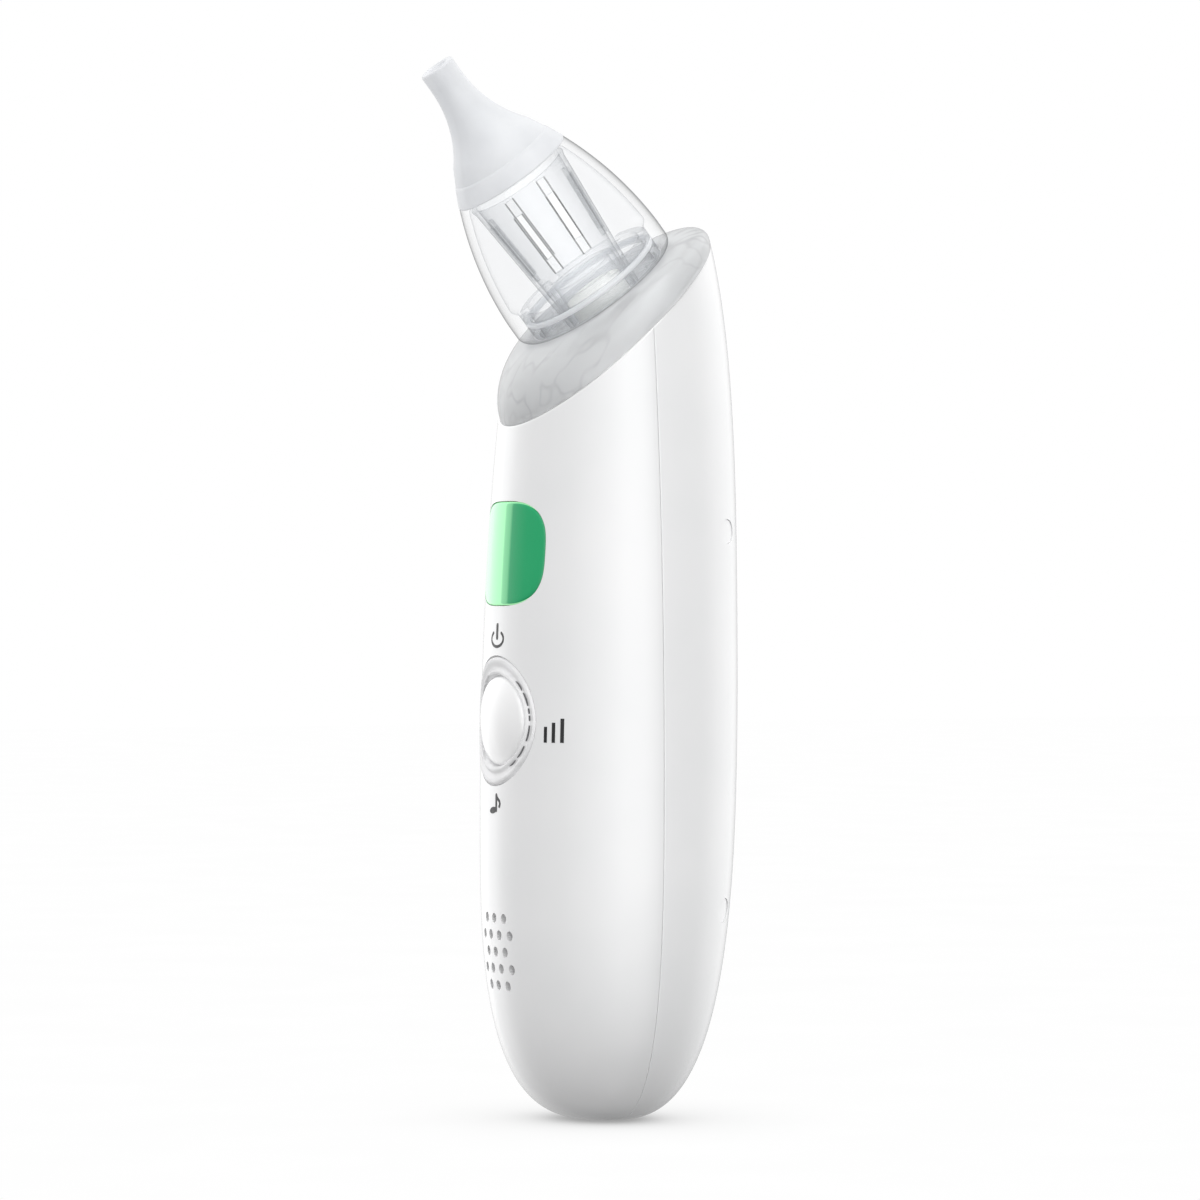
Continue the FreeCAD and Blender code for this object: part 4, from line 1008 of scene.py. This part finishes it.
def build_nozzle():
    base = CUP_TOP + 0.03
    fit = 1.17
    corners = [(10.72, base), (10.75, base + 0.25), (9.45, base + 3.0), (9.30, base + 3.2),
               (9.05, base + 3.4), (9.0, base + 3.65), (7.65, base + 6.2, THROAT_CURVE, 1),
               (3.1, base + THROAT_END), (3.1, base + 21.9), (2.95, base + 22.17), (2.2, base + 22.17),
               (1.93, base + 21.9), (1.93, base + THROAT_END, THROAT_CURVE + fit, -1),
               (throat(6.2, fit), base + 6.2), (9.36, base)]
    nozzle = turned("nozzle_skin", soften(trace(corners, 28), 0.18), "nozzle", HEAD, 128, 40)
    dress(nozzle, "silicone_nozzle", "silicone", SILICONE)


def mark_faces(obj, chosen):
    """Give some faces of a head piece its second material, by how they look out and along the head."""
    axis = HEAD.to_3x3() @ Vector((0, 0, 1))
    for face in obj.data.polygons:
        outward = face.center - SEAT * MM
        outward -= axis * outward.dot(axis)
        if chosen(face.normal.dot(outward.normalized()), face.normal.dot(axis)):
            face.material_index = 1


def bell_inside(height):
    """Radius of the bell's inner wall, a wall's thickness inside the long outer curve."""
    (wide, low), (narrow, high) = BELL_FOOT, BELL_NECK
    lean = math.atan2(wide - narrow, high - low)
    back = math.sqrt(BELL_CURVE ** 2 - ((high - low) / 2 / math.cos(lean)) ** 2)
    middle_radius = (wide + narrow) / 2 - back * math.cos(lean)
    middle_height = (high + low) / 2 - back * math.sin(lean)
    return middle_radius + math.sqrt((BELL_CURVE - BELL_WALL) ** 2 - (height - middle_height) ** 2)


def build_cup():
    skin = 1.2
    bore = 2.2
    ceiling = CUP_TOP - BELL_WALL
    corners = [(13.05, 0.1), (14.0, 0.1, 1.9, -1), (15.5, 1.8), (*BELL_FOOT, BELL_CURVE, -1), BELL_NECK,
               (9.3, CUP_TOP), (throat(6.2, skin), CUP_TOP + 6.2, THROAT_CURVE + skin, 1),
               (throat(13.5, skin), CUP_TOP + 13.5),
               (throat(13.5, bore), CUP_TOP + 13.5, THROAT_CURVE + bore, -1),
               (throat(6.2, bore), CUP_TOP + 6.2), (8.2, CUP_TOP - 0.6),
               (bell_inside(ceiling), ceiling, BELL_CURVE - BELL_WALL, 1),
               (bell_inside(6.2), 6.2), (13.05, 5.2)]
    cup = turned("cup_bell", soften(trace(corners, 24), 0.2), "cup", HEAD, 160, 40)
    dress(cup, "suction_cup", "clear_plastic", CLEAR_CUP, CUP_INSIDE)
    mark_faces(cup, lambda out, along: out < -0.2)


def build_sleeve():
    """Tapered tube with eight narrow slots through its wall."""
    low, high = -2.75, 24.1
    corners = [(7.1, low), (9.1, high - 1), (9.4, high), (8.45, high), (6.45, low)]
    sleeve = turned("sleeve_tube", soften(trace(corners), 0.12), None, Matrix.Identity(4), 128, 40)
    cutters = []
    for number in range(8):
        angle = 2 * math.pi * number / 8
        outline = [(-0.85, 8.5), (0.85, 8.5), (0.85, 20.5), (-0.85, 20.5)]
        cutter = prism(outline, -12, -4)
        cutter.data.transform(Matrix.Rotation(angle, 4, "Z"))
        cutters.append(cutter)
    carve(sleeve, cutters)
    for vertex in sleeve.data.vertices:
        vertex.co = HEAD.to_3x3() @ vertex.co + HEAD.translation * MM
    sleeve.data.polygons.foreach_set("use_smooth", [True] * len(sleeve.data.polygons))
    sleeve.data.set_sharp_from_angle(angle=math.radians(35))
    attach(sleeve, "base")
    dress(sleeve, "inner_sleeve", "clear_plastic", CLEAR_INNER, SLOT_WALL_SHADE)
    # the slot walls take the second material, the painted slot shade
    mark_faces(sleeve, lambda out, along: abs(out) < 0.45 and abs(along) < 0.5)


def build_collar():
    """Shallow translucent dome between the slanted rim and the round seat, hollow underneath."""
    front_z = float(rim_height(np.array([1.0]), True, 0.0)[0])
    back_z = float(rim_height(np.array([1.0]), False, 0.0)[0])
    front_end = Vector((0, -float(depth(front_z, True)), front_z))
    back_end = Vector((0, float(depth(back_z, False)), back_z))
    middle = (front_end + back_end) / 2
    rim_long = (back_end - front_end).length / 2 - 0.15
    rim_wide = float(half_width(middle.z)) - 0.15
    around = 160
    last = math.radians(82)
    top = 16.4
    wall = 1.6

    def ring(angle, inset):
        rise = math.sin(angle) / math.sin(last)
        share = (math.cos(angle) - math.cos(last)) / (1 - math.cos(last))
        long_half = top + (rim_long - top) * share - inset
        wide_half = top + (rim_wide - top) * share - inset
        lean = RIM_LEAN + (HEAD_LEAN - RIM_LEAN) * rise
        seat = SEAT - HEAD.to_3x3() @ Vector((0, 0, inset))
        centre = middle + (seat - middle) * rise
        place = Matrix.Translation(centre) @ Matrix.Rotation(lean, 4, "X")
        return [tuple(place @ Vector((wide_half * math.cos(2 * math.pi * i / around),
                                      long_half * math.sin(2 * math.pi * i / around), 0)))
                for i in range(around)]

    def disc(radius, height):
        return [tuple(HEAD @ Vector((radius * math.cos(2 * math.pi * i / around),
                                     radius * math.sin(2 * math.pi * i / around), height)))
                for i in range(around)]

    angles = [last * step / 14 for step in range(15)]
    mouth = ((16.0, 0.04), (15.8, 0.04), (12.35, 0.0), (12.1, -0.2), (12.1, -1.4), (12.3, -wall),
             (14.4, -wall))
    loops = [ring(angle, 0.0) for angle in angles]
    loops += [disc(radius, height) for radius, height in mouth]
    loops += [ring(angle, wall) for angle in reversed(angles)]
    points = [p for loop in loops for p in loop]
    faces = grid_faces(len(loops), around, 0, True)
    shift = (len(loops) - 1) * around
    for i in range(around):
        nxt = (i + 1) % around
        faces.append((shift + i, shift + nxt, nxt, i))
    collar = new_object("collar_dome", points, faces, "case", 40)
    dress(collar, "head_collar", "smoke_plastic", SMOKE_COLLAR)


# ---------------------------------------------------------------- stage, light, camera

CAMERA_AZIMUTH = math.radians(65.3)
LENS = 150.0
FRAME_WIDTH = 204.8
LOOK_HEIGHT = 88.4
LOOK_ASIDE = -0.6


def build_floor():
    """Pale floor that the camera sees with a soft shadow, and mirrored rays pass through."""
    reach = 2500.0
    corners = [(-reach, -reach, 0), (reach, -reach, 0), (reach, reach, 0), (-reach, reach, 0)]
    floor = new_object("floor", corners, [(0, 1, 2, 3)], None, 0)
    mat, tree = node_material("floor_sweep")
    shade = tree.nodes.new("ShaderNodeAmbientOcclusion")
    shade.samples = 16
    feed(tree, shade.inputs["Distance"], 0.035)
    hidden = calculate(tree, "SUBTRACT", 1.0, shade.outputs["AO"])
    left = calculate(tree, "MULTIPLY_ADD", calculate(tree, "POWER", hidden, 2.3), -0.66, 1.0)
    paper = tint(tree, grain(tree, 30, 2), (0.99, 0.99, 0.99), (1, 1, 1))
    seen = add(tree, "Emission", Color=paper, Strength=left)
    dull = add(tree, "Emission", Color=(1, 1, 1), Strength=0.42)
    lit = add(tree, "MixShader", add(tree, "LightPath", outlet="Is Camera Ray"), dull, seen)
    mirrored = add(tree, "LightPath", outlet="Is Glossy Ray")
    paint(floor, finish_material(mat, add(tree, "MixShader", mirrored, lit, add(tree, "BsdfTransparent"))))


MIRRORED_LIGHT = (
    # (azimuth, brightness) of what glossy surfaces see, in degrees round the object
    (-180, 1.9), (-165, 2.0), (-145, 1.7), (-125, 0.8), (-115, 0.5), (-104, 1.2), (-88, 2.2), (-63, 2.3),
    (-49, 1.2), (-34, 0.4), (-18, 0.3), (10, 1.0), (43, 3.2), (70, 5.2), (92, 5.0), (104, 3.6), (114, 1.7),
    (135, 0.9), (158, 0.9), (180, 1.9),
)
SOFT_LIGHT = (
    # (azimuth, brightness) of the light that falls on matt surfaces
    (-180, 1.8), (-120, 1.9), (-60, 1.85), (20, 1.66), (80, 1.95), (120, 1.85), (180, 1.8),
)


def build_world():
    """Studio light painted on the sky: soft for shading, with crisp light panels for reflections."""
    world = bpy.data.worlds.new("studio")
    bpy.context.scene.world = world
    world.use_nodes = True
    tree = world.node_tree
    tree.nodes.clear()
    where = add(tree, "TexCoord", outlet="Generated")
    up = add(tree, "SeparateXYZ", where, outlet="Z")

    def glow(table, low, low_share, high, high_share):
        level = by_azimuth(tree, where, table)
        share = remap(tree, up, low, high, low_share, high_share)
        return add(tree, "Background", Strength=calculate(tree, "MULTIPLY", level, share))

    soft = glow(SOFT_LIGHT, -0.3, 0.75, 0.9, 1.1)
    crisp = glow(MIRRORED_LIGHT, -0.8, 0.1, -0.1, 1.0)
    behind = add(tree, "Background", Color=(1, 1, 1))
    lit = add(tree, "MixShader", add(tree, "LightPath", outlet="Is Glossy Ray"), soft, crisp)
    sky = add(tree, "MixShader", add(tree, "LightPath", outlet="Is Camera Ray"), lit, behind)
    out = tree.nodes.new("ShaderNodeOutputWorld")
    feed(tree, out.inputs["Surface"], sky)


def build_camera():
    data = bpy.data.cameras.new("camera")
    data.lens = LENS
    data.sensor_width = 36
    camera = bpy.data.objects.new("camera", data)
    bpy.context.scene.collection.objects.link(camera)
    back = Vector((math.sin(CAMERA_AZIMUTH), -math.cos(CAMERA_AZIMUTH), 0))
    aside = Vector((math.cos(CAMERA_AZIMUTH), math.sin(CAMERA_AZIMUTH), 0))
    away = FRAME_WIDTH * LENS / 36
    target = aside * LOOK_ASIDE + Vector((0, 0, LOOK_HEIGHT))
    camera.location = (target + back * away) * MM
    camera.rotation_mode = "QUATERNION"
    camera.rotation_quaternion = (-back).to_track_quat("-Z", "Y")
    data.clip_start = 0.05
    data.clip_end = 20
    bpy.context.scene.camera = camera


paint_cad_nodes()
build_shells()
build_window()
build_ring()
build_button()
build_icons()
build_nozzle()
build_cup()
build_sleeve()
build_collar()
build_floor()
build_world()
build_camera()
bpy.context.scene.view_settings.view_transform = "Standard"
bpy.context.scene.cycles.transparent_max_bounces = 48
